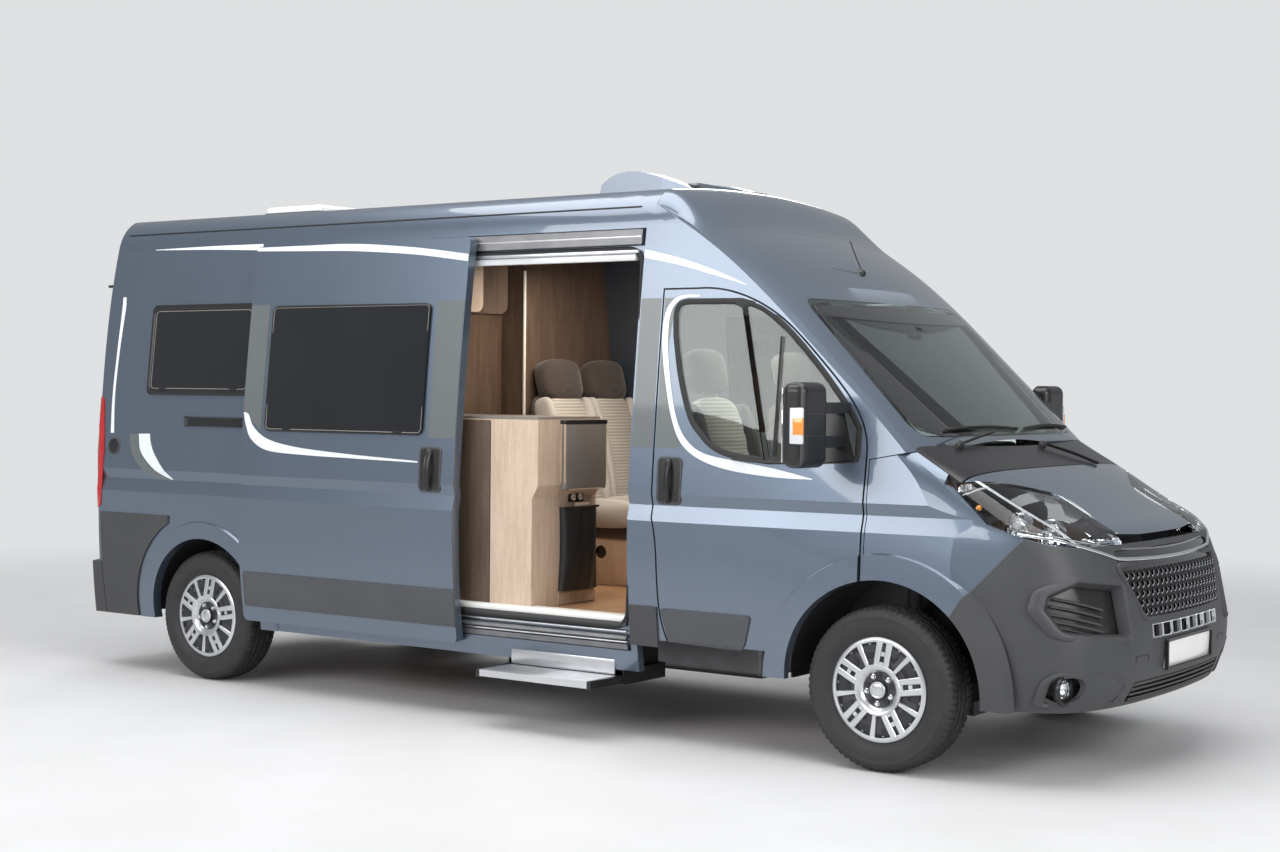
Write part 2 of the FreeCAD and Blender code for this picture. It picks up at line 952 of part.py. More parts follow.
def build_cab_doors():
    """The cab doors with their glass, each an outer skin over a smaller inner frame."""
    skin_sheet = front_strip(0.0, door_skin).common(cab_out).fuse(front_flare)
    outer = skin_sheet.common(grown_prism(cab_door_shares, -shut_gap))
    inner = front_strip(door_skin - seat_gap, door_depth).common(cab_block(wall / 2))
    inner = inner.common(grown_prism(cab_door_shares, -3 * shut_gap))
    door = outer.fuse(inner).cut(grown_prism(cab_window_shares, 0.0))
    post = window_post()
    bar = front_strip(0.0, door_skin).common(post).common(grown_prism(cab_window_shares, seat_gap))
    door = door.fuse(bar).cut(arch(front_axle_x, front_arch_radius))
    pane = front_strip(glass_gap, glass_gap + glass).common(grown_prism(cab_window_shares, -glass_gap))
    pane = pane.cut(post)
    keep("cab_door_right", door)
    keep("cab_door_left", mirrored(door))
    keep("cab_glass_right", pane)
    keep("cab_glass_left", mirrored(pane))


build_cab_doors()


def build_mirrors():
    """A mirror on each door: a foot on the window's front corner, two arms and a tall housing."""
    out = half_width + mirror_stand
    housing = rounded(
        block(
            mirror_centre_x - mirror_depth / 2, mirror_centre_x + mirror_depth / 2,
            -out - mirror_width, -out,
            mirror_centre_z - mirror_height / 2, mirror_centre_z + mirror_height / 2,
        ),
        mirror_corner,
    )
    arms = []
    for level in (-1, 1):
        z = mirror_centre_z + level * mirror_height / 5
        arms.append(block(
            mirror_centre_x, mirror_centre_x + mirror_arm_depth, -out - mirror_width / 3,
            -half_width / 2, z - mirror_arm_height / 2, z + mirror_arm_height / 2,
        ).cut(hull_parts(-mirror_foot / 2)[1]))
    corner = cab_window_shares[2][0]
    foot_zone = polygon_prism(
        [
            Vector(corner[0] * half_length - mirror_foot, -width, corner[1] * height),
            Vector(mirror_centre_x - mirror_depth / 2, -width, corner[1] * height - mirror_foot),
            Vector(mirror_centre_x - mirror_depth / 2, -width, mirror_centre_z + mirror_height / 4),
            Vector(mirror_centre_x + mirror_foot, -width, mirror_centre_z + mirror_height / 4),
        ],
        Vector(0, width, 0),
    )
    foot = front_strip(-mirror_foot, -seat_gap).common(foot_zone)
    mirror = housing.fuse(arms + [foot])
    keep("mirror_right", mirror)
    keep("mirror_left", mirrored(mirror))


build_mirrors()


def build_sliding_door():
    """The sliding door, shaped as the side that it closes, moved to its open place, with its carriers."""
    outline = rounded_window(
        slide_panel_front - slide_panel_width, slide_panel_front, slide_panel_bottom, slide_panel_top,
        -width, -half_width / 2, slide_panel_corner,
    )
    hole = rounded_window(
        slide_window_x[0], slide_window_x[1], side_bottom, side_top,
        -width, -half_width / 2, side_window_corner,
    )
    pane_hole = rounded_window(
        slide_window_x[0] + glass_gap, slide_window_x[1] - glass_gap,
        side_bottom + glass_gap, side_top - glass_gap, -width, -half_width / 2, side_window_corner,
    )
    door = back_strip(0.0, door_depth).common(outline).cut(hole)
    pane = back_strip(-window_stand, door_depth).common(pane_hole)
    shift = Vector(-slide_travel, -slide_stand_off, 0)
    door.translate(shift)
    pane.translate(shift)
    keep("sliding_door_window", pane)
    rear_edge = slide_panel_front - slide_panel_width - slide_travel
    front_edge = slide_panel_front - slide_travel
    spots = [
        (rear_edge + bracket_length, guide_rail_level, rebate_depth / 2),
        (front_edge - bracket_length, (doorway_top + guide_rail_height + rebate_top) / 2, seam_gap),
        (front_edge - bracket_length, rebate_bottom + seam_gap + guide_rail_height / 2, seam_gap),
    ]
    brackets = []
    for x, z, depth in spots:
        bar = block(
            x - bracket_length / 2, x + bracket_length / 2, -width, -half_width / 2,
            z - bracket_height / 4, z + bracket_height / 4,
        )
        zone = hull_parts(door_depth / 2)[0].copy()
        zone.translate(Vector(0, -slide_stand_off, 0))
        brackets.append(bar.common(zone).cut(hull_parts(depth - seat_gap)[0]))
    keep("sliding_door", door.fuse(brackets))
    middle = back_strip(rebate_depth / 2, rebate_depth).common(block(
        guide_rail_rear + seam_gap, doorway_rear - rebate_margin - seam_gap, -width, 0,
        guide_rail_level - guide_rail_height + seam_gap, guide_rail_level + guide_rail_height - seam_gap,
    ))
    ledge = back_strip(seam_gap, rebate_depth)
    upper = ledge.common(block(
        doorway_rear, doorway_front, -width, 0, doorway_top + guide_rail_height, rebate_top - seam_gap,
    ))
    lower = ledge.common(block(
        doorway_rear, doorway_front, -width, 0, rebate_bottom + seam_gap,
        rebate_bottom + guide_rail_height + seam_gap,
    ))
    keep("door_rails", Part.makeCompound([middle, upper, lower]))


build_sliding_door()


def rear_hinges():
    """The right back door's hinges: pins on brackets at the corner, and the eyes that turn on them."""
    lean = Vector(rear_hinge_lean, 0, 1).normalize()
    within = tail_block(-seat_gap)
    half = rear_hinge_height / 2
    brackets, eyes = [], []
    for level in rear_hinge_levels:
        foot = Vector(rear_hinge_x + rear_hinge_lean * (level - rear_hinge_base), -rear_hinge_y, level)
        low = foot - lean * rear_hinge_height
        ends = (foot.x - rear_hinge_leaf / 2, foot.x + 2 * wall)
        bracket = rod(low, foot - lean * (half + rear_hinge_play), rear_hinge_eye).fuse([
            rod(low, foot + lean * half, rear_hinge_pin),
            block(*ends, foot.y - rear_hinge_reach, foot.y, level - rear_hinge_height,
                  level - half - rear_hinge_play),
        ])
        bore = rod(low, foot + lean * rear_hinge_height, rear_hinge_pin + running_gap)
        strap_end = foot.y + rear_hinge_reach
        eye = rod(foot - lean * half, foot + lean * half, rear_hinge_eye).fuse([
            block(ends[0], foot.x + rear_hinge_leaf, foot.y, strap_end, level - half, level + half),
            block(*ends, rear_hinge_leaf - rear_door_half_width, strap_end, level - half, level + half),
        ])
        brackets.append(bracket.cut(within))
        eyes.append(eye.cut(within).cut(bore))
    return brackets, eyes


def build_rear_doors():
    """The two back doors with their windows and hinges, split at the middle."""
    thick = tail_face().extrude(Vector(rear_wall - seat_gap, 0, 0)).common(skin_back)
    whole = thick.common(rear_opening(shut_gap))
    right = whole.common(block(-length, length, -width, -rear_door_split / 2, 0, 2 * height))
    centre_y = (rear_door_half_width + shut_gap) / 2
    half_window = rear_door_half_width / 2 - 2.6 * rear_door_corner

    def opening(gap):
        return rounded(
            block(
                -length, 0, -centre_y - half_window + gap, -centre_y + half_window - gap,
                side_bottom + rear_door_corner + gap, side_top - gap,
            ),
            rear_door_corner, runs_along(Vector(1, 0, 0)),
        )

    pane = tail_face(-window_stand / 2).extrude(Vector(rear_wall / 2, 0, 0)).common(opening(glass_gap))
    door = right.cut(opening(0.0))
    brackets, eyes = rear_hinges()
    right_leaf = Part.makeCompound([door] + eyes)
    keep("rear_door_right", right_leaf)
    keep("rear_door_left", mirrored(right_leaf))
    keep("rear_hinges", Part.makeCompound(brackets + [mirrored(b) for b in brackets]))
    keep("rear_glass_right", pane)
    keep("rear_glass_left", mirrored(pane))


build_rear_doors()


def cowl_zone(grow):
    """The area behind the bonnet, seen from above, with a front edge that bows forward."""
    z0 = bonnet_edge_shares[1][1] * height - 8 * wall
    front = cowl_front_share * half_length + grow
    side = cowl_side_share * half_length + grow
    rear = cowl_rear_share * half_length
    half = 1.2 * half_width
    bow = (front * 3 + side) / 4
    steps = [
        [Vector(side, -half, z0)],
        [Vector(bow, -half / 2, z0), Vector(front, 0, z0), Vector(bow, half / 2, z0), Vector(side, half, z0)],
        [Vector(rear, half, z0)],
        [Vector(rear, -half, z0)],
    ]
    return closed_face(steps).extrude(Vector(0, 0, height))


under_edge = below_line(bonnet_edge_shares, 0, shut_gap)
bumper_zone = below_line(bumper_top_shares, 0)
nose_sheet = nose_face().extrude(Vector(-bonnet_depth, 0, 0)).common(skin_front)


def lamp_zone(gap=0.0):
    """Where the headlamps lie, on both sides of the grille; a gap widens it above and inwards."""
    half = lamp_inner_half - gap
    middle = block(-length, length, -half, half, 0, 2 * height)
    zone = side_prism(headlamp_shares, -width, width)
    zone.translate(Vector(0, 0, gap))
    return zone.cut(middle)


def build_bonnet_and_cowl():
    zone = above_line(bonnet_edge_shares, 2 * height).cut(cowl_zone(shut_gap))
    forward = block(cowl_rear_share * half_length, length, -width, width, 0, 2 * height)
    bonnet = nose_sheet.common(zone).common(forward)
    side = front_strip(0.0, panel).common(nose_out).common(zone).common(forward)
    recess = lamp_zone(shut_gap)
    keep("bonnet", bonnet.cut(recess).fuse([side.cut(recess), mirrored(side).cut(recess)]))
    cowl = nose_sheet.common(cowl_zone(0.0)).common(
        block(0, length, -cowl_half, cowl_half, dash_top - 2 * dash_round, 2 * height))
    keep("cowl", cowl.cut(cab_block(-seat_gap)).cut(recess))


build_bonnet_and_cowl()


def build_wings():
    """The front wings, between the cab door, the bonnet, the lamps and the bumper."""
    start = fender_seam_shares[0][0] * half_length + seam_gap
    middle = cowl_side_share * half_length
    rear_zone = block(start, middle, -width, -cowl_half - seam_gap, 0, 2 * height).common(
        below_line(fender_seam_shares, 0, seam_gap))
    front_zone = block(middle, length, -width, -grille_top_half, 0, 2 * height).common(under_edge)
    zone = rear_zone.fuse(front_zone).cut(bumper_zone).cut(lamp_zone()).cut(arches)
    side = front_strip(0.0, panel).common(nose_out).common(zone)
    corner = nose_sheet.common(hull_parts(panel + seat_gap)[1]).common(zone)
    wing = side.fuse(front_flare.common(zone))
    keep("front_wings", Part.makeCompound([wing, corner, mirrored(wing), mirrored(corner)]))


build_wings()


def build_headlamps():
    """A solid lamp in each corner, cut off behind by a slanting plane."""
    solid = skin_front.common(nose_out).common(lamp_zone())
    back = polygon_prism(
        [
            Vector(half_length - lamp_depth, 0, 0),
            Vector(half_length / 2, -half_width - panel, 0),
            Vector(half_length / 2, 0, 0),
        ],
        Vector(0, 0, height),
    )
    under = bumper_zone.copy()
    under.translate(Vector(0, 0, seam_gap / 2))
    solid = solid.cut(under).cut(cowl_zone(seam_gap))
    keep("headlamps", solid.cut(back).cut(mirrored(back)))


build_headlamps()


def front_prism(points, corner=0.0):
    """A prism along the van from an outline seen from the front."""
    prism = polygon_prism([Vector(half_length / 2, y, z) for y, z in points], Vector(half_length, 0, 0))
    return rounded(prism, corner, runs_along(Vector(1, 0, 0))) if corner else prism


def grille_outline(grow):
    return [
        (-grille_bottom_half - grow, grille_bottom - grow),
        (grille_bottom_half + grow, grille_bottom - grow),
        (grille_top_half + grow, grille_top + grow),
        (-grille_top_half - grow, grille_top + grow),
    ]


def lower_outline(grow):
    return [
        (-lower_intake_half - grow, lower_intake_bottom - grow),
        (lower_intake_half + grow, lower_intake_bottom - grow),
        (lower_intake_half - panel + grow, lower_intake_top + grow),
        (-lower_intake_half + panel - grow, lower_intake_top + grow),
    ]


def build_bumper():
    """The bumper with its intakes, lamp pockets and the grille's opening."""
    side = front_strip(0.0, panel).common(nose_out).fuse(front_flare)
    side = side.common(bumper_zone).cut(arches)
    sheet = nose_face().extrude(Vector(-panel, 0, 0)).common(skin_front).common(bumper_zone).cut(arches)
    bumper = sheet.fuse([side, mirrored(side)])
    tools = [front_prism(grille_outline(0.0), panel), front_prism(lower_outline(0.0), panel / 2)]
    slot_pitch = 2 * slot_half / slot_count
    for i in range(slot_count):
        y = -slot_half + (i + 0.5) * slot_pitch
        tools.append(block(
            half_length / 2, length, y - slot_pitch / 2 + grille_bar / 2, y + slot_pitch / 2 - grille_bar / 2,
            slot_bottom, slot_top,
        ))
    for side in (-1, 1):
        steps = [[Vector(half_length * 0.8, side * y * half_width, z * height) for y, z in step]
                 for step in side_intake_shares]
        tools.append(closed_face(steps).extrude(Vector(length, 0, 0)))
        tools.append(rod(
            Vector(half_length / 2, side * fog_lamp_y, fog_lamp_z),
            Vector(length, side * fog_lamp_y, fog_lamp_z), fog_lamp_radius + seam_gap,
        ))
    for tool in tools:
        bumper = bumper.cut(tool)
    keep("front_bumper", bumper)


build_bumper()


def build_grille():
    """The panel in the bumper's upper opening, joined to the panel behind the lower ones."""
    sheet = nose_face(glass).extrude(Vector(-grille_depth, 0, 0))
    mesh = sheet.common(front_prism(grille_outline(-seat_gap), panel))
    back = nose_face(panel + seat_gap).extrude(Vector(-grille_depth, 0, 0)).common(front_prism(
        [(-lower_intake_half, lower_intake_bottom - panel / 2),
         (lower_intake_half, lower_intake_bottom - panel / 2),
         (slot_half + panel, slot_top + panel / 2), (-slot_half - panel, slot_top + panel / 2)]))
    tie = nose_face(panel + seat_gap).extrude(Vector(-grille_depth, 0, 0)).common(
        front_prism([(-slot_half, slot_top), (slot_half, slot_top),
                     (slot_half, grille_bottom + grille_bar), (-slot_half, grille_bottom + grille_bar)]))
    keep("grille", mesh.fuse([back, tie]))


build_grille()


def build_plate():
    """The blank number plate, its back lying on the bumper's front."""
    sheet = nose_face(-plate_thickness).extrude(Vector(-plate_thickness + seat_gap, 0, 0))
    keep("number_plate", sheet.common(block(
        half_length / 2, length, -plate_width / 2, plate_width / 2, plate_bottom,
        plate_bottom + plate_height)))


build_plate()


def build_rear_bumper():
    """The plastic bumper under the back doors, wrapped round both corners."""
    zone = block(
        -length, -half_length + tail_corner + rear_bumper_wrap, -width, width,
        rear_bumper_bottom, rear_bumper_top,
    )
    back = tail_face(-rear_bumper_stand).extrude(Vector(rear_bumper_stand - seat_gap, 0, 0))
    back = back.common(hull_parts(-cover_stand)[0]).common(zone)
    side = back_strip(-cover_stand, -seat_gap).common(tail_block(-rear_bumper_stand)).common(zone)
    keep("rear_bumper", back.fuse([side, mirrored(side)]))


build_rear_bumper()


def build_covers():
    """The dark plastic covers along the lower sides of the fixed body."""
    sheet = side_strip(-cover_stand, -2 * seat_gap)
    sheet = sheet.cut(arch(rear_axle_x, rear_arch_radius + flare_width + 2 * flare_bevel))
    rear = sheet.common(block(
        -half_length + tail_corner + rear_bumper_wrap + seam_gap, rear_cover_front_shares[0] * half_length,
        -width, width, rear_bumper_bottom, rear_cover_front_shares[1] * height,
    ))
    pillar = sheet.common(block(
        doorway_front + rebate_margin + seam_gap, length, -width, width,
        cover_bottom_share * height, cover_top_share * height,
    ))
    pillar = pillar.common(block(
        0, cab_door_shares[5][0][0] * half_length, -width, 0, 0, height)).cut(
            grown_prism(cab_door_shares, seam_gap))
    keep("side_covers", Part.makeCompound([rear, pillar, mirrored(rear), mirrored(pillar)]))


build_covers()


def build_tail_lamps():
    """A tall lamp on each rear corner."""
    zone = block(
        -length, -half_length + tail_lamp_side, -width, -tail_lamp_inner, tail_lamp_bottom, tail_lamp_top)
    back = tail_face(-cover_stand).extrude(Vector(cover_stand - seat_gap, 0, 0))
    back = back.common(hull_parts(-cover_stand)[0]).common(zone)
    side = back_strip(-cover_stand, -seat_gap).common(tail_block(-cover_stand)).common(zone)
    lamp = back.fuse(side)
    keep("tail_lamps", Part.makeCompound([lamp, mirrored(lamp)]))


build_tail_lamps()


def build_floor():
    """The flat floor between the side walls, cut round the wheels, with the front bulkhead."""
    inside = hull_form(wall + seat_gap)
    slab = block(
        -length, front_axle_x - front_arch_radius, -width, width, floor_top - floor_thickness, floor_top)
    slab = slab.common(inside).common(tail_block(rear_wall + seat_gap))
    beside_doors = block(
        cab_door_shares[3][0][0] * half_length, length, -width, width, 0, height)
    slab = slab.cut(beside_doors).fuse(
        slab.common(beside_doors).common(hull_parts(door_depth + shut_gap)[1]))
    middle = block(
        -length, length, -half_width + rear_liner_depth, half_width - rear_liner_depth, 0, height)
    slab = slab.cut(arch(rear_axle_x, rear_arch_radius + liner_thickness + liner_gap).cut(middle))
    inner_half = half_width - front_liner_depth - liner_gap
    foot = block(
        front_axle_x - front_arch_radius, bulkhead_front, -inner_half, inner_half,
        floor_top - floor_thickness, floor_top,
    )
    wall_plate = block(
        bulkhead_front - bulkhead_thickness, bulkhead_front, -inner_half, inner_half,
        floor_top - floor_thickness, dash_top - dash_round,
    )
    keep("floor", slab.fuse([foot, wall_plate]))


build_floor()


def build_liners():
    """A curved liner over each wheel, closed on its inner side."""
    sets = [
        (front_axle_x, front_arch_radius, front_liner_depth, door_depth + shut_gap, eye_radius),
        (rear_axle_x, rear_arch_radius, rear_liner_depth, wall + seat_gap, beam_radius),
    ]
    found = []
    for x, radius, depth, side_room, shaft in sets:
        start = Vector(x, -half_width + depth, wheel_radius)
        outer = Part.makeCylinder(radius + liner_thickness, depth, start, Vector(0, -1, 0))
        inner = Part.makeCylinder(
            radius, depth, start - Vector(0, liner_thickness, 0), Vector(0, -1, 0))
        upper = block(x - 2 * radius, x + 2 * radius, -width, 0, wheel_radius, height)
        passage = rod(start + Vector(0, liner_gap, 0), start - Vector(0, 2 * liner_thickness, 0), shaft + shut_gap)
        whole = outer.cut(inner).cut(passage).common(upper)
        liner = whole.common(hull_form(side_room))
        if x > 0:
            hinge_room = Part.makeCylinder(
                cab_hinge_sweep, height, Vector(cab_hinge_x, -cab_hinge_y, 0), Vector(0, 0, 1))
            liner = liner.cut(hinge_room)
            beside_wing = block(
                cab_door_shares[0][0][0] * half_length + 2 * shut_gap, front_axle_x + front_arch_radius / 2,
                -width, 0, 0, height)
            liner = liner.fuse(whole.common(beside_wing).common(hull_parts(panel + seat_gap)[1]))
        found += [liner, mirrored(liner)]
    keep("wheel_liners", Part.makeCompound(found))


build_liners()


def build_chassis():
    """Two long rails with cross members under the floor."""
    top = floor_top - floor_thickness - seat_gap
    bottom = top - rail_height
    rear = -half_length + 4 * wall
    front = front_axle_x + front_arch_radius
    rails = []
    for side in (-1, 1):
        y = side * rail_spread / 2
        rails.append(block(rear, front, y - rail_width / 2, y + rail_width / 2, bottom, top))
    for i in range(crossmember_count):
        x = rear + (front - rear) * (i + 0.5) / crossmember_count
        rails.append(block(
            x - rail_width / 2, x + rail_width / 2, -rail_spread / 2, rail_spread / 2,
            bottom + rail_height / 4, top - rail_height / 4,
        ))
    keep("chassis_rails", rails[0].fuse(rails[1:]))


build_chassis()


def tyre_profile():
    """The tyre's section, turned about the axle."""
    half = tyre_width / 2
    bead = rim_diameter / 2 - rim_flange
    belly = (wheel_radius + bead) / 2
    tread = half - tyre_shoulder

    def edges(side):
        foot = Vector(0, side * tyre_bead_width / 2, bead)
        wide = Vector(0, side * half, belly)
        rim = Vector(0, side * (half - tyre_shoulder / 3), wheel_radius - tyre_shoulder)
        bend = Vector(0, side * (half - tyre_shoulder / 2), wheel_radius - tyre_shoulder / 2)
        top = Vector(0, side * tread, wheel_radius - tyre_shoulder / 8)
        return [arc([foot, wide, rim]), arc([rim, bend, top])], foot, top

    right, right_foot, right_top = edges(-1)
    left, left_foot, left_top = edges(1)
    crown = arc([right_top, Vector(0, 0, wheel_radius), left_top])
    return Part.Face(Part.Wire(right + [crown] + left[::-1] + [line(left_foot, right_foot)]))


def build_wheel():
    """A wheel at the origin with its outer face towards -Y: the tyre and the rim with its cover."""
    whole_turn = 360.0
    tyre = tyre_profile().revolve(Vector(0, 0, 0), Vector(0, 1, 0), whole_turn)
    bead = rim_diameter / 2 - rim_flange - seat_gap
    lip = rim_diameter / 2
    half = tyre_bead_width / 2
    outer = [
        (-half - rim_flange / 2, lip),
        (-half, lip),
        (-half, bead),
        (-half / 2, bead),
        (-half / 4, bead - rim_well_depth),
        (half / 4, bead - rim_well_depth),
        (half / 2, bead),
        (half, bead),
        (half, lip),
        (half + rim_flange / 2, lip),
    ]
    inner = [
        (half + rim_flange / 2, bead - rim_sheet),
        (half / 2 + rim_sheet / 2, bead - rim_sheet),
        (half / 4 + rim_sheet / 2, bead - rim_well_depth - rim_sheet),
        (-half / 4 - rim_sheet / 2, bead - rim_well_depth - rim_sheet),
        (-half / 2 - rim_sheet / 2, bead - rim_sheet),
        (-half - rim_flange / 2, bead - rim_sheet),
    ]
    barrel_face = Part.Face(Part.makePolygon([Vector(0, y, z) for y, z in outer + inner + outer[:1]]))
    barrel = barrel_face.revolve(Vector(0, 0, 0), Vector(0, 1, 0), whole_turn)
    edge = bead - rim_sheet / 2
    face_y = -half - rim_flange / 2
    disc = [
        (face_y + rim_sheet, edge),
        (face_y, edge - rim_sheet),
        (face_y - rim_sheet / 2, edge - rim_well_depth),
        (face_y + cover_dish, hub_boss_radius + rim_well_depth / 2),
        (face_y + cover_dish / 2, hub_boss_radius),
        (face_y + cover_dish / 2, stub_radius + running_gap),
        (face_y + cover_dish + hub_boss_length, stub_radius + running_gap),
        (face_y + cover_dish + hub_boss_length, hub_boss_radius),
        (face_y + cover_dish + rim_sheet, hub_boss_radius + rim_well_depth / 2),
        (face_y + rim_sheet, edge - rim_well_depth),
        (face_y + 2 * rim_sheet, edge),
    ]
    disc_face = Part.Face(Part.makePolygon([Vector(0, y, z) for y, z in disc + disc[:1]]))
    cover = disc_face.revolve(Vector(0, 0, 0), Vector(0, 1, 0), whole_turn)
    slots = []
    slot_in = hub_boss_radius + rim_well_depth * 0.9
    slot_out = edge - rim_sheet * 1.5
    slot_half = math.pi * slot_out / spoke_count * 0.30
    for i in range(spoke_count):
        slot = polygon_prism(
            [
                Vector(-slot_half * 0.45, -tyre_width, slot_in),
                Vector(slot_half * 0.45, -tyre_width, slot_in),
                Vector(slot_half, -tyre_width, slot_out),
                Vector(-slot_half, -tyre_width, slot_out),
            ],
            Vector(0, tyre_width, 0),
        )
        slot.rotate(Vector(0, 0, 0), Vector(0, 1, 0), whole_turn * i / spoke_count)
        slots.append(slot)
    cover = cover.cut(Part.makeCompound(slots))
    lugs = []
    for i in range(lug_count):
        angle = 2 * math.pi * i / lug_count
        spot = Vector(lug_circle / 2 * math.sin(angle), face_y, lug_circle / 2 * math.cos(angle))
        lugs.append(rod(
            spot + Vector(0, cover_dish / 2 - lug_radius, 0), spot + Vector(0, cover_dish, 0), lug_radius))
    cap = rod(
        Vector(0, face_y - rim_sheet, 0), Vector(0, face_y + cover_dish / 2 + rim_sheet, 0),
        stub_radius + rim_sheet,
    )
    return tyre, barrel.fuse([cover, cap] + lugs)


wheel_face = -tyre_bead_width / 2 - rim_flange / 2
stub_end = wheel_face + cover_dish / 2 + rim_sheet + seam_gap


def place_wheels():
    tyre, rim = build_wheel()
    rim.rotate(Vector(0, 0, 0), Vector(0, 1, 0), 0)
    spots = {
        "front": (front_axle_x, front_track / 2),
        "rear": (rear_axle_x, rear_track / 2),
    }
    for end, (x, y) in spots.items():
        for name, shape in (("tyre", tyre), ("rim", rim)):
            right = shape.copy()
            right.translate(Vector(x, -y, wheel_radius))
            keep(f"{name}_{end}_right", right)
            keep(f"{name}_{end}_left", mirrored(right))


place_wheels()


def build_knuckle():
    """The right steering knuckle: an upright between two kingpin eyes, with the wheel's stub and brake disc."""
    x = front_axle_x
    y = -front_track / 2 + kingpin_inset
    upright = block(
        x - upright_width / 2, x + upright_width / 2, y - upright_depth / 2, y + upright_depth / 2,
        upright_bottom, upright_top,
    )
    pin = rod(Vector(x, y, kingpin_bottom), Vector(x, y, kingpin_top), kingpin_radius)
    stub = rod(
        Vector(x, y, wheel_radius), Vector(x, -front_track / 2 + stub_end, wheel_radius), stub_radius)
    hub_back = -front_track / 2 + wheel_face + cover_dish + hub_boss_length + seam_gap
    disc = rod(
        Vector(x, hub_back + seam_gap, wheel_radius),
        Vector(x, hub_back + seam_gap + disc_brake_thickness, wheel_radius), disc_brake_radius,
    )
    knuckle = upright.fuse([pin, stub, disc])
    keep("knuckle_right", knuckle)
    keep("knuckle_left", mirrored(knuckle))


build_knuckle()


def build_front_axle():
    """The front cross member with an arm and a strut at each side, each with an eye for the kingpin."""
    x = front_axle_x
    y = -front_track / 2 + kingpin_inset
    low = kingpin_bottom
    high = kingpin_top - eye_height
    member = block(
        x - subframe_length / 2, x + subframe_length / 2, -subframe_half, subframe_half,
        low, low + subframe_height,
    )
    hole = rod(
        Vector(x, y, 0), Vector(x, y, kingpin_top + eye_height), kingpin_radius + running_gap)
    lower_eye = rod(Vector(x, y, low), Vector(x, y, low + eye_height), eye_radius)
    arm = block(x - arm_width / 2, x + arm_width / 2, y, -subframe_half + arm_width, low, low + eye_height)
    upper_eye = rod(Vector(x, y, high), Vector(x, y, high + eye_height), eye_radius)
    plate_y = y + kingpin_inset + axle_plate
    post = block(x - eye_height, x + eye_height, plate_y - axle_plate, plate_y, low, high + eye_height)
    link = block(x - eye_height / 2, x + eye_height / 2, y, plate_y, high, high + eye_height)
    strut_y = plate_y - axle_plate / 2
    strut = rod(Vector(x, strut_y, high), Vector(x, strut_y, strut_top), strut_radius)
    one = lower_eye.fuse([arm, upper_eye, strut, link, post]).cut(hole)
    foot = block(
        x - arm_width / 2, x + arm_width / 2, -rail_spread / 2 - rail_width / 2,
        -rail_spread / 2 + rail_width / 2, low,
        floor_top - floor_thickness - seat_gap - rail_height - seat_gap,
    )
    keep("front_axle", member.fuse([one, mirrored(one), foot, mirrored(foot)]))


build_front_axle()


def build_rear_axle():
    """The rear beam with wheel stubs and brake discs, on two leaf springs under the rails."""
    x = rear_axle_x
    z = wheel_radius
    end = -rear_track / 2 + wheel_face + cover_dish + hub_boss_length + seam_gap
    beam = rod(Vector(x, end + disc_brake_thickness, z), Vector(x, -end - disc_brake_thickness, z), beam_radius)
    pieces = []
    rail_bottom = floor_top - floor_thickness - seat_gap - rail_height
    for side in (-1, 1):
        pieces.append(rod(
            Vector(x, side * (rear_track / 2 - disc_brake_radius), z),
            Vector(x, side * (rear_track / 2 - stub_end), z), stub_radius,
        ))
        pieces.append(rod(
            Vector(x, side * -(end + seam_gap), z),
            Vector(x, side * -(end + seam_gap + disc_brake_thickness), z), disc_brake_radius,
        ))
        y = side * rail_spread / 2
        leaf = block(
            x - spring_length / 2, x + spring_length / 2, y - spring_width / 2, y + spring_width / 2,
            z - beam_radius - spring_thickness, z - beam_radius + seat_gap,
        )
        pieces.append(leaf)
        for shackle in (-1, 1):
            sx = x + shackle * (spring_length / 2 - spring_width / 2)
            pieces.append(block(
                sx - spring_width / 4, sx + spring_width / 4, y - spring_width / 2, y + spring_width / 2,
                z - beam_radius - spring_thickness, rail_bottom - seat_gap,
            ))
    keep("rear_axle", beam.fuse(pieces))


build_rear_axle()


def build_engine():
    """The engine as one plain block on the front cross member."""
    block_shape = block(
        engine_centre - engine_length / 2, engine_centre + engine_length / 2,
        -engine_width / 2, engine_width / 2, engine_bottom, engine_bottom + engine_height,
    )
    mount = block(
        front_axle_x + rail_width, engine_centre, -subframe_height, subframe_height,
        kingpin_bottom + subframe_height + seat_gap, engine_bottom + overrun,
    )
    keep("engine", rounded(block_shape, panel).fuse(mount))


build_engine()


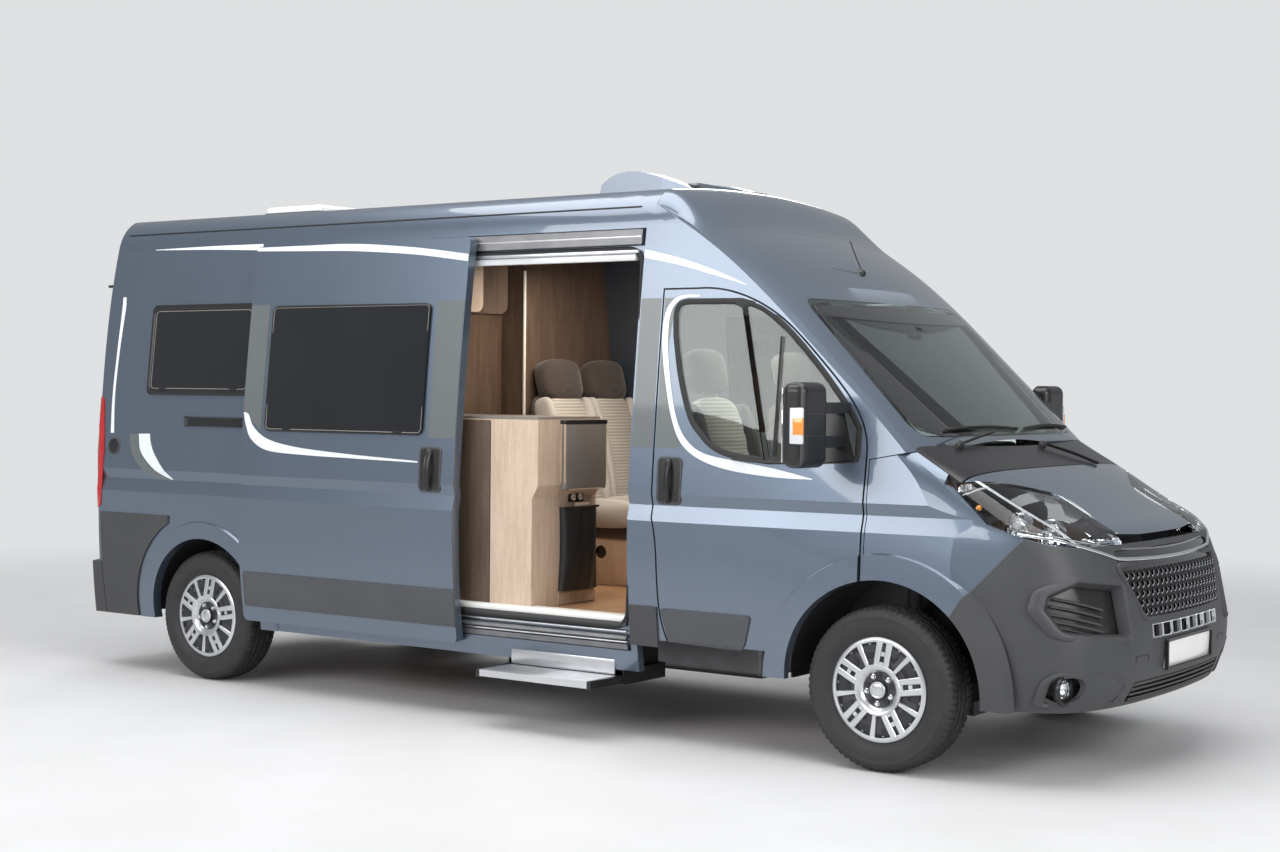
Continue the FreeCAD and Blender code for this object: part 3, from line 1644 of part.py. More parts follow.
def build_under_floor():
    """The fuel tank, the waste-water tank and the exhaust, hung from the rails and floor."""
    floor_under = floor_top - floor_thickness - seat_gap
    rail_in = rail_spread / 2 - rail_width / 2 - seam_gap
    x = (front_axle_x + rear_axle_x) / 2
    rail_bottom = floor_under - rail_height
    cross = block(-length, length, -rail_spread, rail_spread, rail_bottom - seat_gap, floor_top)
    tanks = []
    for place in (-1, 1):
        centre = x + place * (tank_length * 0.62)
        tank = rounded(block(
            centre - tank_length / 2, centre + tank_length / 2, -tank_width / 2, tank_width / 2,
            rail_bottom - tank_height, rail_bottom - seat_gap,
        ), tank_corner)
        tanks.append(tank)
    y = rail_in - silencer_radius
    z = rail_bottom - silencer_radius - seat_gap
    pipe = rod(
        Vector(front_axle_x - subframe_length, y, z), Vector(rear_axle_x + spring_length / 2, y, z), exhaust_radius)
    silencer = rod(Vector(x - silencer_length / 2, y, z), Vector(x + silencer_length / 2, y, z), silencer_radius)
    hangers = [
        block(px - hanger_width / 2, px + hanger_width / 2, y - hanger_width / 2, y + hanger_width / 2,
              z, rail_bottom + rail_height / 4 - seat_gap)
        for px in (crossmember_x(2), crossmember_x(4))
    ]
    exhaust = pipe.fuse([silencer] + hangers)
    exhaust = exhaust.cut(Part.makeCompound([t.copy() for t in tanks]))
    keep("underfloor_units", Part.makeCompound(tanks + [max(exhaust.Solids, key=lambda s: s.Volume)]))


def crossmember_x(index):
    rear = -half_length + 4 * wall
    front = front_axle_x + front_arch_radius
    return rear + (front - rear) * (index + 0.5) / crossmember_count


build_under_floor()


def build_step():
    """The entrance step: a case under the sill and a ribbed tread that slides out of it."""
    x0 = step_centre - step_length / 2
    x1 = step_centre + step_length / 2
    side = lower_arc_shares[0][0] * half_width
    z0 = step_level
    z1 = step_level + step_thickness
    tread_in = -side + 2 * step_lip
    tread_out = tread_in - step_depth - step_lip
    tread = block(x0, x1, tread_out, tread_in, z0, z1)
    for i in range(step_groove_count):
        y = tread_out + (i + 1) * step_depth / (step_groove_count + 1)
        tread = tread.cut(block(
            x0 - overrun, x1 + overrun, y - step_lip / 4, y + step_lip / 4, z1 - step_lip / 4, z1 + overrun))
    arms = [
        block(x - step_lip, x + step_lip, tread_in - overrun, tread_in + step_case_sheet,
              z0 - seam_gap + seat_gap, z1 - step_case_sheet)
        for x in (x0 + 2 * step_lip, x1 - 2 * step_lip)
    ]
    keep("step_tread", tread.fuse(arms))
    gap = seam_gap + step_case_sheet
    case_out = block(
        x0 - gap - step_case_sheet, x1 + gap + step_case_sheet, -side + step_lip,
        -side + step_lip + step_case_depth, z0 - gap, z0 - gap + step_case_height,
    )
    case_in = block(
        x0 - gap, x1 + gap, -side - overrun, -side + step_lip + step_case_depth - step_case_sheet,
        z0 - gap + step_case_sheet, z0 - gap + step_case_height - step_case_sheet,
    )
    rail_bottom = floor_top - floor_thickness
    hangers = [
        block(x - hanger_width / 2, x + hanger_width / 2, -side + step_case_depth / 2,
              -side + step_case_depth, z0 - gap + step_case_height - step_case_sheet / 2, rail_bottom - seat_gap)
        for x in (x0 + hanger_width, x1 - hanger_width)
    ]
    keep("step_case", case_out.cut(case_in).fuse(hangers))


build_step()


def build_roof_units():
    """The front roof light in its fairing, and the small rear vent, each with a lid."""
    top = height + hatch_height_over_roof
    profile = [
        [Vector(hatch_rear, -hatch_half, height - 2 * wall)],
        [Vector(hatch_rear + wall / 2, -hatch_half, top - panel)],
        [Vector(hatch_rear + wall, -hatch_half, top - panel / 4),
         Vector((hatch_rear + hatch_front) / 2, -hatch_half, top),
         Vector(hatch_front - wall / 2, -hatch_half, hatch_nose_level)],
        [Vector(hatch_front, -hatch_half, height - 6 * wall)],
    ]
    fairing = closed_face(profile).extrude(Vector(0, 2 * hatch_half, 0))
    plan = polygon_prism(
        [
            Vector(hatch_rear - overrun, -hatch_half, height - 8 * wall),
            Vector((hatch_rear + hatch_front) / 2, -hatch_half, height - 8 * wall),
            Vector(hatch_front + overrun, -hatch_half + 2 * hatch_side_fall, height - 8 * wall),
            Vector(hatch_front + overrun, hatch_half - 2 * hatch_side_fall, height - 8 * wall),
            Vector((hatch_rear + hatch_front) / 2, hatch_half, height - 8 * wall),
            Vector(hatch_rear - overrun, hatch_half, height - 8 * wall),
        ],
        Vector(0, 0, height),
    )
    roof_solid = skin_back.fuse(skin_front.common(cab_out))
    hole_front = hatch_hole_rear + hatch_hole_length
    hole = block(
        hatch_hole_rear, hole_front, -hatch_hole_half, hatch_hole_half, height - 8 * wall, 2 * height)
    frame = fairing.common(plan).cut(roof_solid).cut(hole)
    lid = block(
        hatch_hole_rear + hatch_gap, hole_front - hatch_gap, -hatch_hole_half + hatch_gap,
        hatch_hole_half - hatch_gap, top - panel - hatch_lid_thickness, top - panel,
    )
    inner = block(
        hatch_hole_rear + hatch_gap + vent_wall, hole_front - hatch_gap - vent_wall,
        -hatch_hole_half + hatch_gap + vent_wall, hatch_hole_half - hatch_gap - vent_wall,
        top - panel - hatch_lid_thickness - overrun, top - panel - hatch_lid_thickness / 2,
    )
    pivot_x = hatch_hole_rear + seat_gap + hatch_pivot_radius
    pivot_z = top - panel - hatch_pivot_radius
    pivot_half = hatch_hole_half - hatch_gap
    pivot = rod(Vector(pivot_x, -pivot_half, pivot_z), Vector(pivot_x, pivot_half, pivot_z), hatch_pivot_radius)
    keep("hatch_lid", lid.cut(inner).fuse(pivot))
    base = block(
        vent_centre - vent_half, vent_centre + vent_half, -vent_half, vent_half,
        height - wall, height + vent_frame_height,
    )
    bore = block(
        vent_centre - vent_half + vent_wall, vent_centre + vent_half - vent_wall,
        -vent_half + vent_wall, vent_half - vent_wall, height - 2 * wall, 2 * height,
    )
    keep("roof_frames", Part.makeCompound([frame, base.cut(bore).cut(skin_back)]))
    lid_low = height + vent_frame_height + seat_gap
    vent_lid = rounded(
        block(
            vent_centre - vent_half, vent_centre + vent_half, -vent_half, vent_half,
            lid_low, lid_low + vent_lid_height,
        ),
        vent_wall, lambda e: e.CenterOfMass.z > lid_low + seat_gap,
    )
    hollow = block(
        vent_centre - vent_half + vent_wall, vent_centre + vent_half - vent_wall,
        -vent_half + vent_wall, vent_half - vent_wall, lid_low - overrun, lid_low + vent_lid_height / 3,
    )
    keep("vent_lid", vent_lid.cut(hollow))


build_roof_units()


def build_dashboard():
    """The dashboard with the steering column."""
    points = [
        [Vector(dash_rear + dash_round, -dash_half, dash_bottom)],
        [Vector(dash_rear, -dash_half, (dash_bottom + dash_top) / 2)],
        [Vector(dash_rear + dash_round / 2, -dash_half, dash_top - dash_round),
         Vector(dash_rear + 2 * dash_round, -dash_half, dash_top),
         Vector(dash_nose, -dash_half, dash_top)],
        [Vector(bulkhead_front - bulkhead_thickness - seat_gap, -dash_half, dash_top - dash_round)],
        [Vector(bulkhead_front - bulkhead_thickness - seat_gap, -dash_half, dash_bottom)],
    ]
    dash = closed_face(points).extrude(Vector(0, 2 * dash_half, 0))
    dash = dash.common(hull_form(door_depth + 2 * shut_gap))
    dash = dash.cut(arch(front_axle_x, front_arch_radius + 2 * liner_thickness + liner_gap))
    rake = math.radians(steering_rake_deg)
    way = Vector(math.cos(rake), 0, -math.sin(rake))
    centre = Vector(steering_centre_x, steering_offset_y, steering_centre_z)
    column = rod(centre + way * (wheel_hub_depth / 2 + column_gap), centre + way * column_length * 1.6, column_radius)
    keep("dashboard", dash.fuse(column))
    rim = Part.makeTorus(wheel_rim_radius, wheel_rim_tube, centre, way)
    hub = rod(centre - way * wheel_hub_depth / 2, centre + way * wheel_hub_depth / 2, wheel_hub_radius)
    across = Vector(0, 1, 0)
    down = way.cross(across)
    spokes = []
    for direction in (across, across * -1, down if down.z < 0 else down * -1):
        tip = centre + direction * wheel_rim_radius
        side = direction.cross(way) * spoke_width / 2
        deep = way * spoke_thickness / 2
        spoke = polygon_prism(
            [centre + side - deep, centre - side - deep, tip - side - deep, tip + side - deep], deep * 2)
        spokes.append(spoke)
    keep("steering_wheel", rim.fuse([hub] + spokes))


build_dashboard()


def seat_shape(front_x, centre_y, wide, seats):
    """A seat that faces forward: plinth, cushion, leaning back and headrests."""
    x0 = front_x - seat_cushion_depth
    base_top = floor_top + seat_gap + seat_plinth_height
    plinth = block(
        x0 + seat_plinth_inset, front_x - seat_plinth_inset, centre_y - wide / 2 + seat_plinth_inset,
        centre_y + wide / 2 - seat_plinth_inset, floor_top + seat_gap, base_top + seat_gap,
    )
    cushion = rounded(
        block(x0, front_x, centre_y - wide / 2, centre_y + wide / 2, base_top, base_top + seat_cushion_height),
        seat_round,
    )
    back_low = base_top + seat_cushion_height / 2
    back = rounded(
        block(
            x0 - seat_back_thickness / 2, x0 + seat_back_thickness / 2, centre_y - wide / 2,
            centre_y + wide / 2, back_low, back_low + seat_back_height,
        ),
        seat_round,
    )
    heads = []
    for i in range(seats):
        y = centre_y + (i - (seats - 1) / 2) * wide / seats
        head_low = back_low + seat_back_height + headrest_gap
        heads.append(rounded(
            block(
                x0 - headrest_thickness / 2, x0 + headrest_thickness / 2, y - headrest_width / 2,
                y + headrest_width / 2, head_low, head_low + headrest_height,
            ),
            seat_round,
        ))
        for side in (-1, 1):
            px = y + side * headrest_width / 4
            heads.append(rod(
                Vector(x0, px, back_low + seat_back_height / 2), Vector(x0, px, head_low + seat_round),
                headrest_post_radius,
            ))
    upper = back.fuse(heads)
    upper.rotate(Vector(x0, 0, back_low), Vector(0, 1, 0), -seat_back_lean_deg)
    return plinth.fuse([cushion, upper])


def build_seats():
    right = seat_shape(cab_seat_front, -cab_seat_y, seat_width, 1)
    left = seat_shape(cab_seat_front, cab_seat_y, seat_width, 1)
    keep("cab_seats", Part.makeCompound([right, left]))
    keep("bench", seat_shape(bench_front, bench_y, bench_width, 2))


build_seats()


def build_kitchen():
    """The kitchen block beside the doorway, with its folding shelf and a waste bag on its end."""
    foot = floor_top + seat_gap
    rear = kitchen_front - kitchen_length
    inner = -kitchen_side + kitchen_depth
    side_face = min(kitchen_side, half_width - 2 * wall)
    outline = [
        Vector(rear, -side_face, foot),
        Vector(kitchen_front, -side_face, foot),
        Vector(kitchen_front, -side_face, kitchen_step_top - kitchen_corner),
        Vector(kitchen_front + kitchen_step_depth / 2, -side_face, kitchen_step_top),
        Vector(kitchen_front + kitchen_step_depth / 2, -side_face, kitchen_top),
        Vector(rear, -side_face, kitchen_top),
    ]
    body = polygon_prism(outline, Vector(0, side_face + inner, 0))
    body = body.common(hull_form(wall + seam_gap))
    face = kitchen_front + kitchen_step_depth / 2 + seat_gap
    flap = block(
        face, face + flap_thickness, inner - flap_width, inner, kitchen_top - flap_height - flap_drop,
        kitchen_top - flap_drop,
    )
    bag_face = kitchen_front + seat_gap
    bag = block(
        bag_face, bag_face + bag_depth, inner - bag_width, inner - board, bag_bottom, bag_bottom + bag_height)
    bag = rounded(bag, flap_thickness)
    flap = rounded(flap, flap_corner, lambda e: runs_along(Vector(1, 0, 0))(e)
                   and e.CenterOfMass.z < kitchen_top - flap_height)
    keep("kitchen", Part.makeCompound([body, flap]))
    keep("waste_bag", bag)


build_kitchen()


def build_furniture():
    """The washroom, the rear bed with its mattress, and the overhead lockers."""
    foot = floor_top + seat_gap
    inside = hull_form(wall + seat_gap)
    room = block(
        washroom_front - washroom_length, washroom_front, washroom_inner, width, foot, height)
    core = block(
        washroom_front - washroom_length + board, washroom_front - board, washroom_inner + board, width,
        foot - overrun, height,
    )
    washroom = room.cut(core).common(inside)
    base = block(bed_rear, bed_front, -bed_half, bed_half, bed_level - bed_thickness, bed_level)
    boards = [
        block(bed_front - board, bed_front, -bed_half, bed_half, foot, bed_level - bed_thickness + seat_gap),
        block(bed_rear, bed_front, -half_width + rear_liner_depth + 2 * liner_gap,
              -half_width + rear_liner_depth + 2 * liner_gap + board, foot, bed_level),
        block(bed_rear, bed_front, half_width - rear_liner_depth - 2 * liner_gap - board,
              half_width - rear_liner_depth - 2 * liner_gap, foot, bed_level),
    ]
    hollow = arch(rear_axle_x, rear_arch_radius + 2 * liner_thickness).cut(block(
        -length, length, -half_width + rear_liner_depth + liner_gap,
        half_width - rear_liner_depth - liner_gap, 0, height))
    bed = base.fuse(boards).cut(hollow).common(inside).common(tail_block(rear_wall + shut_gap))
    mattress = rounded(
        block(
            bed_rear + seat_round, bed_front - board, -bed_half + seat_round, bed_half - seat_round,
            bed_level + seat_gap, bed_level + mattress_thickness,
        ),
        seat_round,
    )
    keep("mattress", mattress.common(inside))
    lockers = []
    for side, front in ((-1, locker_right_front), (1, locker_left_front)):
        y_in = side * (half_width - wall - locker_depth - 2 * panel)
        locker = block(locker_rear, front, y_in, side * width, locker_bottom, height)
        locker = rounded(locker, locker_corner, lambda e: runs_along(Vector(1, 0, 0))(e)
                         and e.CenterOfMass.z < locker_bottom + seat_gap
                         and abs(e.CenterOfMass.y) < half_width)
        lockers.append(locker.common(inside).common(tail_block(rear_wall + shut_gap)))
    keep("furniture", Part.makeCompound([washroom, bed] + lockers))


build_furniture()

for node, shape in built.items():
    solids = shape.Solids
    if not solids or not all(s.isValid() for s in solids):
        print("check", node, len(solids), [s.isValid() for s in solids])
    shape.exportStep(f"parts/{node}.step")
print(len(built), "nodes", sum(len(s.Solids) for s in built.values()), "solids")
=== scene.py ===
import math

import bmesh
import bpy
from mathutils import Matrix, Vector
from mathutils.bvhtree import BVHTree


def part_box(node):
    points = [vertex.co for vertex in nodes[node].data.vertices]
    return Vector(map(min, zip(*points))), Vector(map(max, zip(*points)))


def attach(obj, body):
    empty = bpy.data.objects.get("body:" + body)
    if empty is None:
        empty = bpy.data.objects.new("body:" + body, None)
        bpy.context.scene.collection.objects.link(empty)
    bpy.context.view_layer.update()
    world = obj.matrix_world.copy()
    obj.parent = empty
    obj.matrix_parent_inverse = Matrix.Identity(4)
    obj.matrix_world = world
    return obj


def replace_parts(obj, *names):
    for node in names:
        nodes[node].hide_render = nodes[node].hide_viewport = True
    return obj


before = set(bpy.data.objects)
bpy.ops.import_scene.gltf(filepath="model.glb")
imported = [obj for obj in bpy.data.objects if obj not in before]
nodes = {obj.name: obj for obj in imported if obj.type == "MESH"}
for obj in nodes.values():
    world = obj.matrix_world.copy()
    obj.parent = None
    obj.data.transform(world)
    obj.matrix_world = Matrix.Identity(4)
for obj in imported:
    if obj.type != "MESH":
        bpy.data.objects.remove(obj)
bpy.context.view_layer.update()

# Sizes in metres. +X is forward, -Y is the side that the camera sees, +Z is up.
HALF_LENGTH = 2.999
HALF_WIDTH = 1.025
HEIGHT = 2.524
FRONT_AXLE = 2.051
REAR_AXLE = -1.984
WHEEL_RADIUS = 0.341
DOOR_SHIFT = 0.066
FILM_LIFT = 0.0012
WINDOW_TOP = 1.974
FULL_TURN = 2 * math.pi

# Half of the cross-section: three points (y, z) of each arc, and the crease between the arcs
LOWER_ARC = [(0.951 * HALF_WIDTH, 0.119 * HEIGHT), (0.990 * HALF_WIDTH, 0.240 * HEIGHT),
             (1.001 * HALF_WIDTH, 0.390 * HEIGHT)]
SWAGE = (0.985 * HALF_WIDTH, 0.418 * HEIGHT)
UPPER_ARC = [(0.997 * HALF_WIDTH, 0.438 * HEIGHT), (0.949 * HALF_WIDTH, 0.668 * HEIGHT),
             (0.878 * HALF_WIDTH, 0.915 * HEIGHT)]


# Materials

MOTTLE_SCALE = 6.0
FLAKE_SCALE = 1400.0
WOOD_SCALE = 14.0
THREAD_SCALE = 420.0 / 6.3
GRAIN_DEPTH = 0.0004
THREAD_DEPTH = 0.0006


def add_node(tree, kind, values=None, sources=None):
    """A new shader node: values for some of its inputs, outputs of other nodes for others."""
    node = tree.nodes.new(kind)
    for key, value in (values or {}).items():
        node.inputs[key].default_value = value
    for key, source in (sources or {}).items():
        tree.links.new(source, node.inputs[key])
    return node


def new_material(name, values, scale=(1, 1, 1)):
    """A material, its node tree, its surface node and object coordinates."""
    mat = bpy.data.materials.new(name)
    mat.use_nodes = True
    tree = mat.node_tree
    bsdf = tree.nodes["Principled BSDF"]
    for key, value in values.items():
        bsdf.inputs[key].default_value = value
    coord = tree.nodes.new("ShaderNodeTexCoord")
    mapping = add_node(tree, "ShaderNodeMapping", {"Scale": scale}, {"Vector": coord.outputs["Object"]})
    return mat, tree, bsdf, mapping.outputs["Vector"]


def noise(tree, vector, scale, detail=3.0, rough=0.5):
    node = add_node(tree, "ShaderNodeTexNoise", {"Scale": scale, "Detail": detail, "Roughness": rough},
                    {"Vector": vector})
    return node.outputs["Fac"]


def wave(tree, vector, axis, scale, distortion, detail):
    node = add_node(tree, "ShaderNodeTexWave", {"Scale": scale, "Distortion": distortion, "Detail": detail},
                    {"Vector": vector})
    node.bands_direction = axis
    return node.outputs["Fac"]


def calculate(tree, operation, *terms):
    """A maths node; each term is a number or another node's output."""
    node = tree.nodes.new("ShaderNodeMath")
    node.operation = operation
    for slot, term in zip(node.inputs, terms):
        if isinstance(term, float):
            slot.default_value = term
        else:
            tree.links.new(term, slot)
    return node.outputs[0]


def colour_by(tree, bsdf, fac, low, high, start=0.3, end=0.7):
    node = add_node(tree, "ShaderNodeValToRGB", sources={"Fac": fac})
    for element, place, colour in zip(node.color_ramp.elements, (start, end), (low, high)):
        element.position = place
        element.color = (*colour, 1)
    tree.links.new(node.outputs["Color"], bsdf.inputs["Base Color"])


def rough_by(tree, bsdf, fac, low, high):
    node = add_node(tree, "ShaderNodeMapRange", {"To Min": low, "To Max": min(1.0, high)}, {"Value": fac})
    tree.links.new(node.outputs["Result"], bsdf.inputs["Roughness"])


def bump(tree, bsdf, height, strength, distance):
    node = add_node(tree, "ShaderNodeBump", {"Strength": strength, "Distance": distance}, {"Height": height})
    tree.links.new(node.outputs["Normal"], bsdf.inputs["Normal"])


def shade(colour, factor):
    return tuple(min(1.0, c * factor) for c in colour)


def plain(name, colour, rough, metal=0.0, coat=0.0, grain=900.0, grain_bump=0.15, mottle=0.08):
    """Moulded plastic, paint or metal: uneven colour and roughness, and a fine grain."""
    mat, tree, bsdf, vector = new_material(name, {"Metallic": metal, "Coat Weight": coat,
                                                  "Coat Roughness": 0.05})
    broad = noise(tree, vector, MOTTLE_SCALE, 4.0)
    colour_by(tree, bsdf, broad, shade(colour, 1 - mottle), shade(colour, 1 + mottle))
    rough_by(tree, bsdf, broad, rough * 0.88, rough * 1.12)
    bump(tree, bsdf, noise(tree, vector, grain, 2.0), grain_bump, GRAIN_DEPTH)
    return mat


def metallic_paint(name, colour):
    """Metallic lacquer: small flakes that tilt, under a clear coat."""
    mat, tree, bsdf, vector = new_material(name, {"Metallic": 0.72, "Coat Weight": 1.0,
                                                  "Coat Roughness": 0.035})
    flakes = add_node(tree, "ShaderNodeTexVoronoi", {"Scale": FLAKE_SCALE}, {"Vector": vector})
    split = add_node(tree, "ShaderNodeSeparateColor", sources={"Color": flakes.outputs["Color"]})
    colour_by(tree, bsdf, split.outputs["Red"], shade(colour, 0.86), shade(colour, 1.16), 0.1, 0.9)
    rough_by(tree, bsdf, noise(tree, vector, 3.0), 0.30, 0.36)
    bump(tree, bsdf, split.outputs["Green"], 0.05, GRAIN_DEPTH / 2)
    return mat


def glass(name, colour):
    mat, tree, bsdf, vector = new_material(name, {"Transmission Weight": 1.0, "Roughness": 0.0, "IOR": 1.45})
    colour_by(tree, bsdf, noise(tree, vector, 1.5), shade(colour, 0.97), shade(colour, 1.03))
    return mat


def tinted(name, colour):
    """Dark acrylic that shows almost nothing behind it."""
    mat, tree, bsdf, vector = new_material(name, {"Coat Weight": 0.6, "Coat Roughness": 0.01})
    broad = noise(tree, vector, 2.0)
    colour_by(tree, bsdf, broad, shade(colour, 0.8), shade(colour, 1.25))
    rough_by(tree, bsdf, broad, 0.03, 0.066)
    return mat


def wood(name, light, dark, along):
    """Wood-grain laminate: long streaks along one axis with finer pores in them."""
    mat, tree, bsdf, streaks = new_material(name, {}, along)
    broad = noise(tree, streaks, WOOD_SCALE * 0.35, 5.0, 0.6)
    fine = noise(tree, streaks, WOOD_SCALE * 3.0, 8.0, 0.65)
    blend = calculate(tree, "MULTIPLY_ADD", fine, 0.45, calculate(tree, "MULTIPLY", broad, 0.55))
    colour_by(tree, bsdf, blend, dark, light, 0.36, 0.62)
    rough_by(tree, bsdf, fine, 0.357, 0.504)
    bump(tree, bsdf, fine, 0.12, GRAIN_DEPTH)
    return mat


def cloth(name, colour, second, lines=False):
    """Woven cloth: crossed threads, or cross stripes of a second yarn over them."""
    mat, tree, bsdf, vector = new_material(name, {"Sheen Weight": 0.25})
    crossed = [wave(tree, vector, axis, THREAD_SCALE, 1.2, 2.0) for axis in "XZ"]
    threads = calculate(tree, "MULTIPLY", *crossed)
    if lines:
        colour_by(tree, bsdf, wave(tree, vector, "Z", 18.0, 0.8, 2.0), second, colour, 0.25, 0.75)
    else:
        colour_by(tree, bsdf, threads, second, colour, 0.1, 0.8)
    rough_by(tree, bsdf, noise(tree, vector, 30.0), 0.782, 0.918)
    bump(tree, bsdf, threads, 0.35, THREAD_DEPTH)
    return mat


def rubber(name, colour):
    mat, tree, bsdf, vector = new_material(name, {})
    dust = noise(tree, vector, 22.0, 6.0, 0.6)
    colour_by(tree, bsdf, dust, shade(colour, 0.8), shade(colour, 1.5), 0.35, 0.75)
    rough_by(tree, bsdf, dust, 0.55, 0.75)
    bump(tree, bsdf, noise(tree, vector, 700.0), 0.2, GRAIN_DEPTH)
    return mat


PAINT = (0.125, 0.160, 0.212)
MATERIALS = {
    "paint": metallic_paint("paint", PAINT),
    "roof_paint": metallic_paint("roof_paint", shade(PAINT, 0.94)),
    "dark": plain("dark_plastic", (0.048, 0.049, 0.052), 0.52, grain=650.0, grain_bump=0.35),
    "cladding": plain("cladding", (0.060, 0.064, 0.072), 0.50, grain=650.0, grain_bump=0.35),
    "black": plain("satin_black", (0.012, 0.012, 0.013), 0.32, grain=1200.0, grain_bump=0.08),
    "gloss_black": plain("gloss_black", (0.006, 0.006, 0.007), 0.10, coat=0.8, grain_bump=0.0),
    "seal": plain("rubber_seal", (0.014, 0.014, 0.014), 0.62, grain_bump=0.3),
    "cab_glass": glass("cab_glass", (0.80, 0.90, 0.86)),
    "living_glass": tinted("living_glass", (0.005, 0.006, 0.008)),
    "smoke": plain("smoke_acrylic", (0.105, 0.135, 0.155), 0.12, coat=0.8, grain_bump=0.0, mottle=0.04),
    "lens": glass("clear_lens", (0.96, 0.97, 0.98)),
    "red_lens": plain("red_lens", (0.42, 0.012, 0.012), 0.12, coat=1.0, grain_bump=0.0, mottle=0.15),
    "amber": plain("amber_lens", (0.85, 0.30, 0.04), 0.15, coat=1.0, grain_bump=0.0),
    "white_lens": plain("white_lens", (0.72, 0.74, 0.76), 0.12, coat=1.0, grain_bump=0.0),
    "tyre": rubber("tyre", (0.020, 0.020, 0.021)),
    "silver": plain("wheel_silver", (0.60, 0.61, 0.63), 0.30, metal=0.85, coat=0.4, grain_bump=0.04),
    "chrome": plain("chrome", (0.80, 0.81, 0.83), 0.07, metal=1.0, grain_bump=0.0, mottle=0.02),
    "steel": plain("steel", (0.22, 0.22, 0.23), 0.48, metal=0.8, grain_bump=0.3, mottle=0.2),
    # The CAD rims, their silver cover included, made dark grey: partly the steel wheel's own colour, partly
    # painted shade that shows through the gaps between the paddles.
    "rim_steel_and_shade": plain("rim_steel_and_shade", (0.030, 0.031, 0.033), 0.55, metal=0.3, grain_bump=0.2, mottle=0.15),
    "cast": plain("cast", (0.07, 0.07, 0.075), 0.60, metal=0.4, grain_bump=0.5, mottle=0.25),
    "plate": plain("plate", (0.82, 0.82, 0.80), 0.30, coat=0.3, grain_bump=0.02, mottle=0.02),
    "alu": plain("aluminium", (0.62, 0.63, 0.65), 0.30, metal=0.9, grain_bump=0.1),
    "white": plain("white_plastic", (0.78, 0.78, 0.75), 0.38, grain_bump=0.1, mottle=0.03),
    "stripe": plain("stripe_white", (0.76, 0.79, 0.82), 0.28, coat=0.6, grain_bump=0.0, mottle=0.02),
    "grey_film": plain("grey_film", (0.112, 0.125, 0.128), 0.38, coat=0.5, grain_bump=0.02, mottle=0.04),
    "light_wood": wood("light_wood", (0.64, 0.50, 0.385), (0.50, 0.365, 0.265), along=(7, 7, 0.8)),
    "brown_wood": wood("brown_wood", (0.150, 0.103, 0.075), (0.085, 0.056, 0.041), along=(7, 7, 0.8)),
    "floor_wood": wood("floor_wood", (0.46, 0.28, 0.16), (0.27, 0.15, 0.085), along=(8, 1, 1)),
    "grey_panel": plain("grey_panel", (0.21, 0.19, 0.175), 0.42, grain=500.0, mottle=0.05),
    "seat": cloth("seat_cloth", (0.56, 0.52, 0.46), (0.36, 0.34, 0.31), lines=True),
    "seat_dark": cloth("seat_dark", (0.085, 0.068, 0.060), (0.050, 0.040, 0.036)),
    "bag": plain("bag", (0.016, 0.016, 0.017), 0.45, grain=240.0, grain_bump=0.6),
    "dash": plain("dash", (0.045, 0.047, 0.050), 0.60, grain=600.0, grain_bump=0.4),
    "mattress": cloth("mattress_cloth", (0.58, 0.56, 0.52), (0.42, 0.40, 0.38)),
}

NODE_MATERIALS = {
    "paint": "side_wall_right side_wall_left front_wings bonnet cab_door_right cab_door_left sliding_door "
             "rear_door_right rear_door_left",
    "roof_paint": "roof roof_frames",
    "dark": "front_bumper rear_bumper side_covers",
    "black": "cowl mirror_right mirror_left step_case wheel_liners rear_hinges",
    "gloss_black": "grille",
    "smoke": "hatch_lid",
    "living_glass": "side_windows sliding_door_window rear_glass_right rear_glass_left",
    "cab_glass": "windscreen cab_glass_right cab_glass_left",
    "lens": "headlamps",
    "red_lens": "tail_lamps",
    "white": "vent_lid",
    "plate": "number_plate",
    "floor_wood": "floor",
    "steel": "chassis_rails underfloor_units door_rails",
    "cast": "front_axle rear_axle knuckle_right knuckle_left engine",
    "alu": "step_tread",
    "dash": "dashboard steering_wheel",
    "seat": "cab_seats bench",
    "mattress": "mattress",
    "light_wood": "kitchen",
    "brown_wood": "furniture",
    "bag": "waste_bag",
    "tyre": "tyre_front_right tyre_front_left tyre_rear_right tyre_rear_left",
    "rim_steel_and_shade": "rim_front_right rim_front_left rim_rear_right rim_rear_left",
}


def smooth(obj, angle=32.0):
    """Smooth faces with sharp creases kept."""
    for polygon in obj.data.polygons:
        polygon.use_smooth = True
    obj.data.set_sharp_from_angle(angle=math.radians(angle))


def dress_nodes():
    for mat, names in NODE_MATERIALS.items():
        for name in names.split():
            data = nodes[name].data
            data.materials.clear()
            data.materials.append(MATERIALS[mat])
            smooth(nodes[name])


# Places on the van's surfaces

def both(make):
    """Calls a maker for the right side (-1) and the left side (1)."""
    for side in (-1, 1):
        make(side)


def side_name(side):
    return "right" if side < 0 else "left"


def circle_through(a, b, c):
    """Centre and radius of the circle through three points."""
    ax, ay = a
    bx, by = b
    cx, cy = c
    a2, b2, c2 = ax * ax + ay * ay, bx * bx + by * by, cx * cx + cy * cy
    double = 2 * (ax * (by - cy) + bx * (cy - ay) + cx * (ay - by))
    ux = (a2 * (by - cy) + b2 * (cy - ay) + c2 * (ay - by)) / double
    uy = (a2 * (cx - bx) + b2 * (ax - cx) + c2 * (bx - ax)) / double
    return ux, uy, math.hypot(ax - ux, ay - uy)


def arc_y(points, z):
    cx, cz, radius = circle_through(*points)
    return cx + math.sqrt(max(0.0, radius ** 2 - (z - cz) ** 2))


